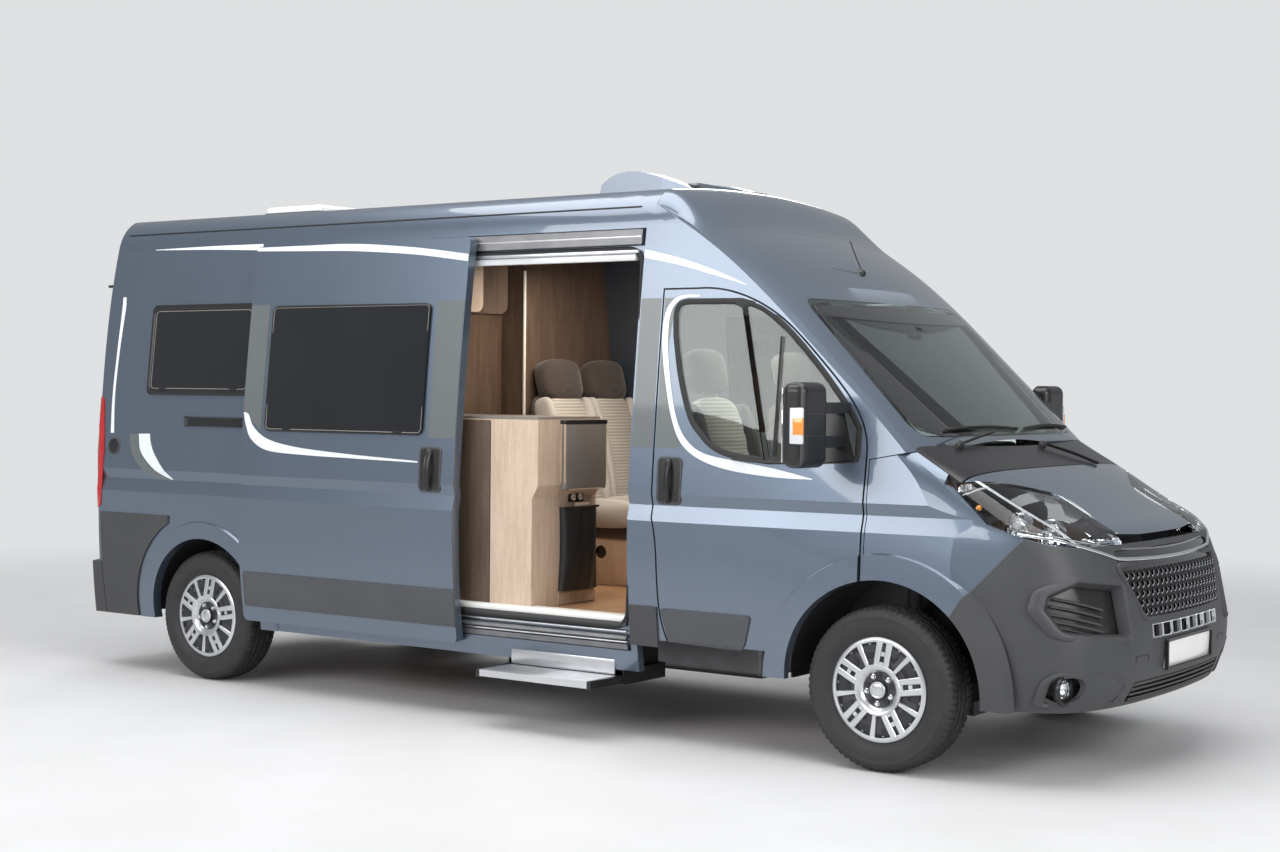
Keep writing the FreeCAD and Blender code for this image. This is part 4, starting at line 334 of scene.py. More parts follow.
def straight_y(z):
    """How far the straight part of the side stands from the middle at a height."""
    if z <= LOWER_ARC[2][1]:
        return arc_y(LOWER_ARC, z)
    for (y0, z0), (y1, z1) in ((LOWER_ARC[2], SWAGE), (SWAGE, UPPER_ARC[0])):
        if z <= z1:
            return y0 + (z - z0) / (z1 - z0) * (y1 - y0)
    return arc_y(UPPER_ARC, z)


def straight_side(shift=0.0, side=-1):
    """Maps (x, z, lift) onto the straight part of the side."""
    step = 0.002

    def place(x, z, lift=0.0):
        slope = (straight_y(z + step) - straight_y(z - step)) / (2 * step)
        normal = Vector((0, side, -slope)).normalized()
        return Vector((x, side * (straight_y(z) + shift), z)) + normal * lift
    return place


def tree_of(names):
    """A search tree of the faces of some nodes."""
    verts, faces = [], []
    for name in names:
        data = nodes[name].data
        start = len(verts)
        verts += [v.co.copy() for v in data.vertices]
        faces += [[start + i for i in p.vertices] for p in data.polygons]
    return BVHTree.FromPolygons(verts, faces)


def hit(tree, start, way, near, lift=0.0):
    """Where a ray meets a tree, or else its place nearest to a point, moved out by the lift."""
    spot, normal, _, _ = tree.ray_cast(Vector(start), Vector(way))
    if spot is None:
        spot, normal, _, _ = tree.find_nearest(Vector(near))
    if normal.dot(Vector(way)) > 0:
        normal = -normal
    return spot + normal * lift


def cast_side(side, *names):
    """Maps (x, z, lift) onto nodes by a ray from beside the van."""
    tree = tree_of(names)
    return lambda x, z, lift=0.0: hit(tree, (x, side * 2.0, z), (0, -side, 0), (x, side * 1.1, z), lift)


def cast_end(way, *names):
    """Maps (y, z, lift) onto nodes by a ray from in front of the van (1) or from behind it (-1)."""
    tree = tree_of(names)
    return lambda y, z, lift=0.0: hit(tree, (way * 4.0, y, z), (-way, 0, 0), (way * 3.0, y, z), lift)


def cast_top(*names):
    """Maps (x, y, lift) onto nodes by a ray from above the van."""
    tree = tree_of(names)
    return lambda x, y, lift=0.0: hit(tree, (x, y, 4.0), (0, 0, -1), (x, y, 2.5), lift)


# Lines and outlines

def resample(points, count):
    """Points spread evenly along an open line."""
    pts = [Vector(p) for p in points]
    run = [0.0]
    for a, b in zip(pts, pts[1:]):
        run.append(run[-1] + (b - a).length)
    out = []
    k = 0
    for i in range(count):
        target = run[-1] * i / (count - 1)
        while k < len(pts) - 2 and run[k + 1] < target:
            k += 1
        step = run[k + 1] - run[k]
        t = 0.0 if step == 0 else (target - run[k]) / step
        out.append(pts[k].lerp(pts[k + 1], t))
    return out


def between(p0, p1, p2, p3, t):
    """A point of the smooth line from p1 to p2 (Catmull-Rom)."""
    return 0.5 * ((2 * p1) + (p2 - p0) * t + (2 * p0 - 5 * p1 + 4 * p2 - p3) * t * t
                  + (3 * p1 - p0 - 3 * p2 + p3) * t ** 3)


def curve(points, count=48):
    """A smooth line through points, resampled evenly."""
    pts = [Vector(p) for p in points]
    pts = [2 * pts[0] - pts[1]] + pts + [2 * pts[-1] - pts[-2]]
    fine = [between(*pts[i - 1:i + 3], step / 16) for i in range(1, len(pts) - 2) for step in range(16)]
    return resample(fine + [pts[-2]], count)


def rounded_outline(corners, radius, steps=8):
    """A closed outline of (x, z) corners, each rounded; the radius is one for all or one each."""
    out = []
    count = len(corners)
    radii = radius if isinstance(radius, (list, tuple)) else [radius] * count
    for i in range(count):
        here = Vector(corners[i])
        before = Vector(corners[i - 1]) - here
        after = Vector(corners[(i + 1) % count]) - here
        turn = before.angle(after)
        wanted = radii[i] if turn > 3.1 else radii[i] / math.tan(turn / 2)
        back = min(wanted, before.length * 0.49, after.length * 0.49)
        start = here + before.normalized() * back
        end = here + after.normalized() * back
        for s in range(steps + 1):
            t = s / steps
            out.append(start * (1 - t) ** 2 + here * 2 * t * (1 - t) + end * t * t)
    return out


def box_outline(x0, x1, z0, z1, radius, steps=8):
    return rounded_outline([(x0, z0), (x1, z0), (x1, z1), (x0, z1)], max(0.002, radius), steps)


def circle_outline(x, z, radius, count=28):
    turns = [FULL_TURN * i / count for i in range(count)]
    return [Vector((x + radius * math.cos(a), z + radius * math.sin(a))) for a in turns]


def grown(outline, grow):
    """A closed outline moved outwards along its normals."""
    count = len(outline)
    area = sum(outline[i - 1].x * outline[i].y - outline[i].x * outline[i - 1].y for i in range(count))
    way = 1 if area > 0 else -1
    out = []
    for i in range(count):
        along = outline[(i + 1) % count] - outline[i - 1]
        if along.length > 1e-9:
            along.normalize()
        out.append(outline[i] + Vector((along.y, -along.x)) * grow * way)
    return out


# Kinds of pieces

def add_object(name, data):
    obj = bpy.data.objects.new(name, data)
    bpy.context.scene.collection.objects.link(obj)
    return obj


def piece(name, verts, faces, mat, body="body", smooth_angle=35.0):
    """A new piece from a mesh, with its material, slot and body."""
    data = bpy.data.meshes.new(name)
    data.from_pydata([tuple(v) for v in verts], [], faces)
    data.validate()
    data.update()
    obj = add_object(name, data)
    data.materials.append(MATERIALS[mat])
    work = bmesh.new()
    work.from_mesh(data)
    bmesh.ops.remove_doubles(work, verts=work.verts, dist=1e-6)
    bmesh.ops.recalc_face_normals(work, faces=work.faces)
    work.to_mesh(data)
    work.free()
    smooth(obj, smooth_angle)
    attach(obj, body)
    return obj


def unpack(work):
    """Verts and faces of a bmesh, which is freed."""
    verts = [v.co.copy() for v in work.verts]
    faces = [[v.index for v in f.verts] for f in work.faces]
    work.free()
    return verts, faces


def grid_faces(rows, columns, start=0, closed=False):
    faces = []
    for r in range(rows - 1):
        for c in range(columns if closed else columns - 1):
            a = start + r * columns + c
            b = start + r * columns + (c + 1) % columns
            faces.append((a, b, b + columns, a + columns))
    return faces


def loop_faces(rows, columns, start=0):
    """Faces of a grid that closes on itself both ways."""
    last = start + (rows - 1) * columns
    closing = [(last + c, last + (c + 1) % columns, start + (c + 1) % columns, start + c)
               for c in range(columns)]
    return grid_faces(rows, columns, start, closed=True) + closing


def slab(rows_top, rows_bottom):
    """Verts and faces of a closed sheet between two equal grids of points."""
    rows, columns = len(rows_top), len(rows_top[0])
    verts = [p for row in rows_top + rows_bottom for p in row]
    low = rows * columns
    faces = grid_faces(rows, columns) + [f[::-1] for f in grid_faces(rows, columns, low)]
    rim = (list(range(columns)) + [r * columns + columns - 1 for r in range(1, rows)]
           + [(rows - 1) * columns + c for c in range(columns - 2, -1, -1)]
           + [r * columns for r in range(rows - 2, 0, -1)])
    faces += [(b, a, a + low, b + low) for a, b in zip(rim, rim[1:] + rim[:1])]
    return verts, faces


def film(name, edge_a, edge_b, place, mat, body="body", lift=FILM_LIFT, thick=0.001):
    """A thin film on a surface between two edges."""
    rows, count = 5, 56
    a, b = curve(edge_a, count), curve(edge_b, count)
    lines = [[p.lerp(q, r / (rows - 1)) for p, q in zip(a, b)] for r in range(rows)]
    sheets = [[[place(p.x, p.y, high) for p in line] for line in lines] for high in (lift, lift - thick)]
    return piece(name, *slab(*sheets), mat, body)


def band(name, outline, loops, place, mat, body="body"):
    """A moulding round a closed outline: loops of (grow, lift) from its outer foot to its inner one."""
    verts = [place(p.x, p.y, lift) for grow, lift in loops for p in grown(outline, grow)]
    return piece(name, verts, loop_faces(len(loops), len(outline)), mat, body)


def cap(name, outline, place, mat, body="body", lift=0.004, thick=0.004, crown=0.0):
    """A closed plate on a surface inside an outline, with an optional crown."""
    rings, columns = 6, len(outline)
    centre = sum(outline, Vector((0, 0))) / columns
    verts = []
    for r in range(rings):
        t = 1 - r / rings
        bulge = crown * (1 - t ** 2.5)
        verts += [place(*(centre + (p - centre) * t), lift + bulge) for p in outline]
    top = len(verts)
    last = top - columns
    low = top + 1
    bottom = low + columns
    verts.append(place(centre.x, centre.y, lift + crown))
    verts += [place(p.x, p.y, lift - thick) for p in outline]
    verts.append(place(centre.x, centre.y, lift - thick))
    faces = grid_faces(rings, columns, closed=True)
    for c in range(columns):
        d = (c + 1) % columns
        faces += [(last + c, last + d, top), (low + c, low + d, d, c), (low + d, low + c, bottom)]
    return piece(name, verts, faces, mat, body)


def tube(name, path, radius, mat, body="body", sides=10, flat=1.0):
    """A round or flattened bar along a path of points."""
    pts = [Vector(p) for p in path]
    verts, count = [], len(pts)
    normal = (pts[1] - pts[0]).normalized().orthogonal().normalized()
    for i, p in enumerate(pts):
        along = (pts[min(i + 1, count - 1)] - pts[max(i - 1, 0)]).normalized()
        normal = (normal - along * normal.dot(along)).normalized()
        across = along.cross(normal)
        for s in range(sides):
            a = FULL_TURN * s / sides
            verts.append(p + normal * math.cos(a) * radius + across * math.sin(a) * radius * flat)
    faces = grid_faces(count, sides, closed=True)
    faces.append(tuple(range(sides))[::-1])
    faces.append(tuple((count - 1) * sides + s for s in range(sides)))
    return piece(name, verts, faces, mat, body)


def lathe(name, profile, centre, axis, mat, body="body", segments=48):
    """A revolved piece; its profile is (radius, along) points."""
    axis = Vector(axis).normalized()
    u = axis.orthogonal().normalized()
    v = axis.cross(u)
    centre = Vector(centre)
    verts = []
    for radius, along in profile:
        for s in range(segments):
            a = FULL_TURN * s / segments
            verts.append(centre + axis * along + (u * math.cos(a) + v * math.sin(a)) * radius)
    return piece(name, verts, grid_faces(len(profile), segments, closed=True), mat, body)


def bevelled_box(name, low, high, mat, radius=0.004, steps=2, body="body"):
    """A box with rounded edges between two corners."""
    work = bmesh.new()
    bmesh.ops.create_cube(work, size=1.0)
    size = Vector(high) - Vector(low)
    bmesh.ops.scale(work, vec=size, verts=work.verts)
    limit = min(radius, min(size) * 0.45)
    bmesh.ops.bevel(work, geom=work.edges[:], offset=limit, segments=steps, affect="EDGES", profile=0.5)
    bmesh.ops.translate(work, verts=work.verts, vec=(Vector(high) + Vector(low)) / 2)
    return piece(name, *unpack(work), mat, body, 40.0)


def small_box(name, centre, half, mat, radius):
    """A rounded cube about a point."""
    return bevelled_box(name, [c - half for c in centre], [c + half for c in centre], mat, radius)


def boxes(rows, body="body"):
    """Rounded boxes from rows of name, two corners, material, radius and, where they aren't two, steps."""
    for row in rows:
        bevelled_box(*row, body=body)


def cushion(name, low, high, mat, power=5.0, crown=0.03, turn=None, pivot=None, channels=0, channel_axis=2,
            cells=26):
    """A padded block: its faces swell in the middle, its edges are round and its channels are sewn in."""
    depth = 0.006
    low, high = Vector(low), Vector(high)
    centre, half = (low + high) / 2, (high - low) / 2
    work = bmesh.new()
    bmesh.ops.create_cube(work, size=2.0)
    bmesh.ops.subdivide_edges(work, edges=work.edges[:], cuts=cells, use_grid_fill=True)
    for v in work.verts:
        q = v.co / sum(abs(c) ** power for c in v.co) ** (1 / power)
        for i in range(3):
            j, k = [other for other in range(3) if other != i]
            fade = max(0.0, (1 - q[j] ** 2) * (1 - q[k] ** 2))
            q[i] *= 1 + crown / half[i] * fade * 0.5
        if channels:
            dip = 1 - abs(math.sin(math.pi * channels * (q[channel_axis] + 1) / 2))
            for i in range(3):
                if i != channel_axis:
                    q[i] *= 1 - depth / half[i] * dip ** 3
        v.co = q * half
    if turn is not None:
        bmesh.ops.rotate(work, verts=work.verts, cent=Vector(pivot) - centre, matrix=turn)
    bmesh.ops.translate(work, verts=work.verts, vec=centre)
    obj = piece(name, *unpack(work), mat, smooth_angle=60.0)
    return obj


# Camera, floor and light

CAMERA_PLACE = Vector((5.829, -8.028, 1.571))
CAMERA_YAW = math.radians(35.367)
CAMERA_PITCH = math.radians(1.111)
CAMERA_ROLL = math.radians(0.529)
FOCAL_SHARE = 1932.7 / 1280
SENSOR = 36.0
BACKDROP = (0.74, 0.75, 0.76)
FLOOR_HALF = 60.0
FLOOR_FADE_START = 3.5
FLOOR_FADE_END = 11.0
WHITE_LIGHT = (1.0, 1.0, 1.0)
# name: place, target, size, power, colour
LAMPS = {
    "softbox_top": ((0.5, -1.2, 6.5), (0.2, 0, 1.0), (9.0, 5.0), 520, WHITE_LIGHT),
    "softbox_front": ((8.5, -3.5, 3.6), (2.0, 0, 1.2), (4.5, 3.5), 300, WHITE_LIGHT),
    "softbox_side": ((-1.5, -8.5, 4.2), (0, 0, 1.1), (8.0, 3.0), 380, WHITE_LIGHT),
    "softbox_back": ((-5.0, 6.0, 4.5), (0, 0, 1.4), (5.0, 2.5), 220, WHITE_LIGHT),
    "living_light": ((0.0, 0.0, 2.20), (0.0, 0.1, 0.5), (0.9, 0.5), 17, (1.0, 0.88, 0.74)),
    "living_glow": ((0.30, -0.70, 1.95), (-0.35, 0.55, 1.05), (0.35, 0.25), 6, (1.0, 0.90, 0.78)),
    "cab_light": ((1.15, 0.0, 1.98), (1.35, 0, 0.8), (0.6, 0.9), 9, (1.0, 0.95, 0.88)),
}


def make_camera():
    data = bpy.data.cameras.new("camera")
    data.sensor_width = SENSOR
    data.lens = SENSOR * FOCAL_SHARE
    camera = add_object("camera", data)
    level = math.cos(CAMERA_PITCH)
    forward = Vector((-math.sin(CAMERA_YAW) * level, math.cos(CAMERA_YAW) * level, -math.sin(CAMERA_PITCH)))
    right = forward.cross(Vector((0, 0, 1))).normalized()
    up = right.cross(forward)
    tilted = right * math.cos(CAMERA_ROLL) + up * math.sin(CAMERA_ROLL)
    upright = up * math.cos(CAMERA_ROLL) - right * math.sin(CAMERA_ROLL)
    turn = Matrix((tilted, upright, -forward)).transposed().to_4x4()
    camera.matrix_world = Matrix.Translation(CAMERA_PLACE) @ turn
    bpy.context.scene.camera = camera


def make_floor():
    """A pale floor that fades to the backdrop's colour far from the van."""
    half = FLOOR_HALF
    data = bpy.data.meshes.new("floor_plane")
    corners = [(-half, -half, 0), (half, -half, 0), (half, half, 0), (-half, half, 0)]
    data.from_pydata(corners, [], [(0, 1, 2, 3)])
    floor = add_object("floor_plane", data)
    mat, tree, bsdf, vector = new_material("pale_floor", {"Roughness": 0.55})
    colour_by(tree, bsdf, noise(tree, vector, 1.5, 4.0), (0.60, 0.60, 0.60), (0.64, 0.64, 0.645))
    far = add_node(tree, "ShaderNodeEmission", {"Color": (*BACKDROP, 1)})
    length = add_node(tree, "ShaderNodeVectorMath", sources={0: vector})
    length.operation = "LENGTH"
    fade = add_node(tree, "ShaderNodeMapRange", {"From Min": FLOOR_FADE_START, "From Max": FLOOR_FADE_END},
                    {"Value": length.outputs["Value"]})
    fade.interpolation_type = "SMOOTHSTEP"
    blend = add_node(tree, "ShaderNodeMixShader", sources={
        "Fac": fade.outputs["Result"], 1: bsdf.outputs["BSDF"], 2: far.outputs["Emission"]})
    tree.links.new(blend.outputs["Shader"], tree.nodes["Material Output"].inputs["Surface"])
    data.materials.append(mat)


def make_world():
    """Soft light from all round, and a backdrop that only the camera sees."""
    world = bpy.data.worlds.new("world")
    bpy.context.scene.world = world
    world.use_nodes = True
    tree = world.node_tree
    background = tree.nodes["Background"]
    background.inputs["Color"].default_value = (0.80, 0.82, 0.85, 1)
    background.inputs["Strength"].default_value = 0.45
    seen = add_node(tree, "ShaderNodeBackground", {"Color": (*BACKDROP, 1)})
    path = tree.nodes.new("ShaderNodeLightPath")
    mix = add_node(tree, "ShaderNodeMixShader", sources={
        "Fac": path.outputs["Is Camera Ray"], 1: background.outputs["Background"],
        2: seen.outputs["Background"]})
    tree.links.new(mix.outputs["Shader"], tree.nodes["World Output"].inputs["Surface"])


def make_lamps():
    """Four softboxes round the van and warm lamps in it, which aren't seen themselves."""
    for name, (place, target, size, power, colour) in LAMPS.items():
        data = bpy.data.lights.new(name, "AREA")
        data.shape = "RECTANGLE"
        data.size, data.size_y = size
        data.energy = power
        data.color = colour
        obj = add_object(name, data)
        obj.location = place
        obj.rotation_euler = (Vector(target) - Vector(place)).to_track_quat("-Z", "Y").to_euler()
        if colour != WHITE_LIGHT:
            obj.visible_camera = obj.visible_glossy = obj.visible_transmission = False


def set_view():
    bpy.context.scene.view_settings.view_transform = "Standard"


# Stripes and films of the right side: name, surface, material, lift and the two edges as (x, z)

FILMS = [
    ("stripe_rear", "rear", "stripe", FILM_LIFT, [(-2.50, 2.308), (-2.05, 2.312), (-1.66, 2.310)],
     [(-2.50, 2.305), (-2.05, 2.293), (-1.66, 2.277)]),
    ("stripe_door", "door", "stripe", FILM_LIFT,
     [(-1.628, 2.284), (-1.30, 2.283), (-0.94, 2.280), (-0.53, 2.248), (-0.185, 2.205)],
     [(-1.628, 2.266), (-1.30, 2.256), (-0.94, 2.244), (-0.53, 2.214), (-0.185, 2.171)]),
    ("stripe_pillar", "cab", "stripe", FILM_LIFT, [(0.79, 2.199), (1.0, 2.150), (1.2, 2.085), (1.345, 2.026)],
     [(0.79, 2.162), (1.0, 2.120), (1.2, 2.066), (1.345, 2.024)]),
    ("swoosh", "door", "stripe", FILM_LIFT,
     [(-1.620, 1.430), (-1.590, 1.420), (-1.551, 1.358), (-1.446, 1.297), (-1.241, 1.260), (-0.900, 1.235),
      (-0.410, 1.212)],
     [(-1.628, 1.430), (-1.604, 1.360), (-1.560, 1.292), (-1.440, 1.238), (-1.178, 1.221), (-0.812, 1.213),
      (-0.410, 1.205)]),
    ("crescent", "wall", "stripe", FILM_LIFT,
     [(-2.420, 1.301), (-2.403, 1.241), (-2.369, 1.187), (-2.300, 1.115), (-2.226, 1.058)],
     [(-2.510, 1.299), (-2.486, 1.206), (-2.402, 1.130), (-2.310, 1.082), (-2.230, 1.056)]),
    ("crescent_grey", "wall", "grey_film", FILM_LIFT,
     [(-2.516, 1.299), (-2.492, 1.204), (-2.408, 1.127), (-2.316, 1.079), (-2.236, 1.053)],
     [(-2.587, 1.297), (-2.550, 1.185), (-2.450, 1.098), (-2.330, 1.062), (-2.240, 1.050)]),
    ("corner_strip", "rear", "stripe", FILM_LIFT,
     [(-2.705, 2.05), (-2.701, 1.984), (-2.719, 1.764), (-2.729, 1.515), (-2.716, 1.300)],
     [(-2.730, 2.05), (-2.729, 1.984), (-2.739, 1.764), (-2.749, 1.515), (-2.743, 1.300)]),
    ("door_film_rear", "door", "grey_film", 0.0009, [(-1.630, 1.985), (-1.630, 1.70), (-1.630, 1.440)],
     [(-1.494, 1.985), (-1.494, 1.70), (-1.494, 1.335)]),
    ("door_film_front", "door", "grey_film", 0.0009, [(-0.352, 1.985), (-0.352, 1.65), (-0.352, 1.325)],
     [(-0.184, 1.985), (-0.184, 1.65), (-0.184, 1.325)]),
    ("pillar_film", "cab", "grey_film", 0.0009, [(0.803, 1.975), (0.803, 1.65), (0.803, 1.310)],
     [(0.911, 1.975), (0.911, 1.65), (0.911, 1.310)]),
    ("cab_film", "cab", "grey_film", 0.0007, [(0.930, 1.975), (0.930, 1.65), (0.930, 1.310)],
     [(0.990, 1.975), (0.968, 1.65), (1.060, 1.310)]),
    # The white border round the cab window; its tail, tapering from x 1.53 to 1.72 below the mirror, is
    # painted highlight on the body.
    ("cab_border", "cab", "stripe", 0.0022,
     [(1.111, 1.985), (1.035, 1.986), (0.975, 1.966), (0.937, 1.900), (0.934, 1.765), (0.966, 1.592),
      (1.010, 1.433), (1.067, 1.329), (1.167, 1.263), (1.322, 1.221), (1.543, 1.198), (1.72, 1.194)],
     [(1.112, 1.977), (1.045, 1.976), (0.996, 1.958), (0.964, 1.895), (0.964, 1.765), (0.992, 1.592),
      (1.036, 1.434), (1.097, 1.343), (1.188, 1.290), (1.349, 1.262), (1.530, 1.236), (1.72, 1.197)]),
]


def make_stripes():
    """The white stripes, the swoosh and the grey films of the right side."""
    surfaces = {
        "wall": straight_side(),
        "door": straight_side(DOOR_SHIFT),
        "cab": cast_side(-1, "side_wall_right", "roof", "cab_door_right", "cab_glass_right"),
        "rear": cast_side(-1, "side_wall_right", "roof"),
    }
    for name, surface, mat, lift, edge_a, edge_b in FILMS:
        film(name, edge_a, edge_b, surfaces[surface], mat, lift=lift)


# Windows and details of the sides

# The cab door's window: steps of points as shares, one-point steps are straight
CAB_WINDOW = [
    [(0.442, 0.776)],
    [(0.477, 0.763), (0.517, 0.729), (0.567, 0.670), (0.617, 0.600), (0.640, 0.560)],
    [(0.640, 0.508)],
    [(0.503, 0.500)],
    [(0.441, 0.509), (0.410, 0.522), (0.388, 0.543), (0.367, 0.574), (0.347, 0.640), (0.333, 0.715)],
    [(0.331, 0.755), (0.337, 0.772), (0.350, 0.777)],
]
# name: rear end, front end, lower edge, node, side
HINGED_WINDOWS = {
    "sliding_window": (-1.459, -0.387, 1.340, "sliding_door_window", -1),
    "rear_side_window_right": (-2.435, -1.680, 1.540, "side_windows", -1),
    "rear_side_window_left": (-2.435, -1.680, 1.540, "side_windows", 1),
    "front_side_window_left": (0.060, 0.750, 1.340, "side_windows", 1),
}
CAB_CLADDING = [(1.012, 0.420), (1.372, 0.420), (1.403, 0.470), (1.440, 0.600), (0.972, 0.600)]
FRAME_LOOPS = [(0.0245, -0.003), (0.0235, 0.002), (0.019, 0.0042), (0.006, 0.0042), (0.001, 0.0008)]
# Loops of the pale band that paints the highlight on a window frame's inner edge
HIGHLIGHT_LINE_LOOPS = [(-0.006, 0.0002), (-0.0065, 0.0012), (-0.010, 0.0012), (-0.0105, 0.0002)]
CAB_SEAL_LOOPS = [(0.010, 0.0), (0.0095, 0.0026), (0.004, 0.0040), (-0.008, 0.0036), (-0.016, 0.0012),
                  (-0.017, 0.0002)]
CLADDING_LOOPS = [(0.002, 0.0005), (0.0015, 0.008), (-0.004, 0.0122), (-0.010, 0.0118)]
CUP_LOOPS = [(0.0, 0.0), (-0.001, 0.0045), (-0.006, 0.0060), (-0.012, 0.0045), (-0.013, 0.0018)]
SOCKET_PLACE = (-2.705, 1.229)
SOCKET_LOOPS = [(0.0, 0.0), (0.0, 0.004), (-0.006, 0.006), (-0.008, 0.002)]
REAR_SEAM_LOOPS = [(0.0, 0.0), (0.0, 0.0008)]
FLAP_LOOPS = [(0.006, 0.0), (0.005, 0.003), (0.0, 0.004), (-0.004, 0.003), (-0.005, 0.0)]
FUEL_LOOPS = [(0.002, 0.0), (0.002, 0.0012), (-0.001, 0.0012), (-0.001, 0.0)]


def share_outline(steps):
    """A closed outline in metres from steps of shares of the half length and height."""
    per, out = 8, []
    last = steps[-1][-1]
    for step in steps:
        run = [Vector((x * HALF_LENGTH, z * HEIGHT)) for x, z in [last] + step]
        out += (curve(run, per * len(step)) if len(step) > 1 else resample(run, per))[:-1]
        last = step[-1]
    return out


def window_trim(name, x0, x1, z0, node, side):
    """A black frame on a hinged window, a thin pale line inside it that paints the highlight on the frame's
    inner edge, and two catches.
    """
    place = cast_side(side, node)
    outline = box_outline(x0, x1, z0, WINDOW_TOP, 0.034)
    band(name, outline, FRAME_LOOPS, place, "black")
    # Painted highlight: a pale grey band inside the black frame stands for the gloss on its inner edge.
    band(name + "_line", outline, HIGHLIGHT_LINE_LOOPS, place, "grey_panel")
    for sign in (-1, 1):
        x = (x0 + x1) / 2 + sign * (x1 - x0) * 0.33
        catch = [place(x, z0 + 0.010, 0.004), place(x + 0.05 * sign, z0 + 0.010, 0.004)]
        tube(f"{name}_catch_{sign + 1}", resample(catch, 4), 0.004, "black", sides=8)


def cab_window(side):
    """The cab window's seal, its upright bar and the strip under it."""
    word = side_name(side)
    body = f"door_{word}"
    place = cast_side(side, f"cab_door_{word}", f"cab_glass_{word}", f"side_wall_{word}")
    band(f"cab_seal_{word}", share_outline(CAB_WINDOW), CAB_SEAL_LOOPS, place, "seal", body)
    bar = [place(0.512 * HALF_LENGTH, z, 0.003) for z in (1.285, 1.45, 1.62, 1.80)]
    tube(f"cab_bar_{word}", bar, 0.010, "black", body, flat=0.45)
    waist = curve([(1.33, 1.272), (1.50, 1.262), (1.72, 1.266), (1.905, 1.276)], 20)
    tube(f"waist_strip_{word}", [place(p.x, p.y, 0.003) for p in waist], 0.007, "seal", body, 8, 0.6)


def make_windows():
    for name, values in HINGED_WINDOWS.items():
        window_trim(name, *values)
    both(cab_window)


def handle(name, x0, x1, z0, z1, place, body):
    """A door handle: a black cup with a raised rim and an upright grip across it."""
    outline = box_outline(x0, x1, z0, z1, 0.030)
    cap(name + "_cup", grown(outline, -0.006), place, "black", body, lift=0.0022, thick=0.002)
    band(name + "_rim", outline, CUP_LOOPS, place, "dark", body)
    count, inset = 18, 0.018
    x = (x0 + x1) / 2
    line = curve([(x, z0 + inset), (x, (z0 + z1) / 2), (x, z1 - inset)], count)
    grip = [place(p.x, p.y, 0.004 + 0.024 * math.sin(math.pi * i / (count - 1)) ** 0.6)
            for i, p in enumerate(line)]
    tube(name + "_grip", grip, 0.016, "black", body, 12, 0.55)


def cab_door_trim(side):
    """The cladding and the handle of a cab door."""
    word = side_name(side)
    place = cast_side(side, f"cab_door_{word}")
    body = f"door_{word}"
    outline = rounded_outline(CAB_CLADDING, [0.015, 0.05, 0.04, 0.02, 0.012])
    cap(f"cab_cladding_{word}", outline, place, "cladding", body, lift=0.009, thick=0.0085, crown=0.002)
    handle(f"cab_handle_{word}", 0.946, 1.078, 1.060, 1.272, place, body)


def make_side_details():
    """Claddings, handles, the guide rail's cover, the socket, the service flap and the fuel flap."""
    door = straight_side(DOOR_SHIFT)
    wall = cast_side(-1, "side_wall_right")
    lower = box_outline(-1.604, -0.173, 0.433, 0.607, 0.012)
    cap("sliding_cladding", lower, door, "cladding", lift=0.011, thick=0.0105, crown=0.002)
    band("sliding_cladding_edge", lower, CLADDING_LOOPS, door, "cladding")
    both(cab_door_trim)
    handle("sliding_handle", -0.400, -0.259, 1.065, 1.283, door, "body")
    cap("guide_cover", box_outline(-2.150, -1.680, 1.346, 1.400, 0.010),
        cast_side(-1, "side_wall_right", "door_rails"), "black", lift=0.006, thick=0.006, crown=0.001)
    cover = circle_outline(*SOCKET_PLACE, 0.040)
    cap("socket_cover", cover, wall, "black", lift=0.006, thick=0.006, crown=0.002)
    band("socket_rim", circle_outline(*SOCKET_PLACE, 0.046), SOCKET_LOOPS, wall, "dark")
    left = straight_side(0.0, 1)
    flap = box_outline(-1.45, -1.15, 0.80, 1.08, 0.030)
    band("service_flap", flap, FLAP_LOOPS, left, "black")
    cap("service_lid", grown(flap, -0.008), left, "paint", lift=0.0035, thick=0.003)
    band("fuel_seam", box_outline(1.10, 1.26, 0.86, 1.02, 0.030), FUEL_LOOPS,
         cast_side(1, "side_wall_left", "cab_door_left"), "seal", "door_left")
    band("rear_seam", box_outline(-2.622, -2.618, 0.62, 2.24, 0.001), REAR_SEAM_LOOPS, wall, "seal")


# Front

# The nose from the chin up: forward share, height share, and how much the corners fall back
NOSE = [(0.940, 0.040, 1.00), (0.960, 0.091, 1.00), (0.985, 0.135, 1.00), (0.999, 0.190, 1.00),
        (0.998, 0.246, 1.00), (0.989, 0.301, 1.00), (0.975, 0.349, 1.00), (0.956, 0.390, 0.97),
        (0.918, 0.418, 0.88), (0.867, 0.452, 0.74), (0.807, 0.493, 0.55), (0.750, 0.529, 0.34),
        (0.684, 0.567, 0.20), (0.600, 0.612, 0.20)]
NOSE_LINE = [Vector((z_share * HEIGHT, x_share * HALF_LENGTH, fall)) for x_share, z_share, fall in NOSE]
NOSE_CROWN = 0.110
NOSE_CORNER = 0.400

CELL = 0.046
CELL_ROWS = 5
CELL_LOOPS = ((0.0262, -0.0065), (0.0262, 0.0035), (0.0200, 0.0035), (0.0185, -0.0065))
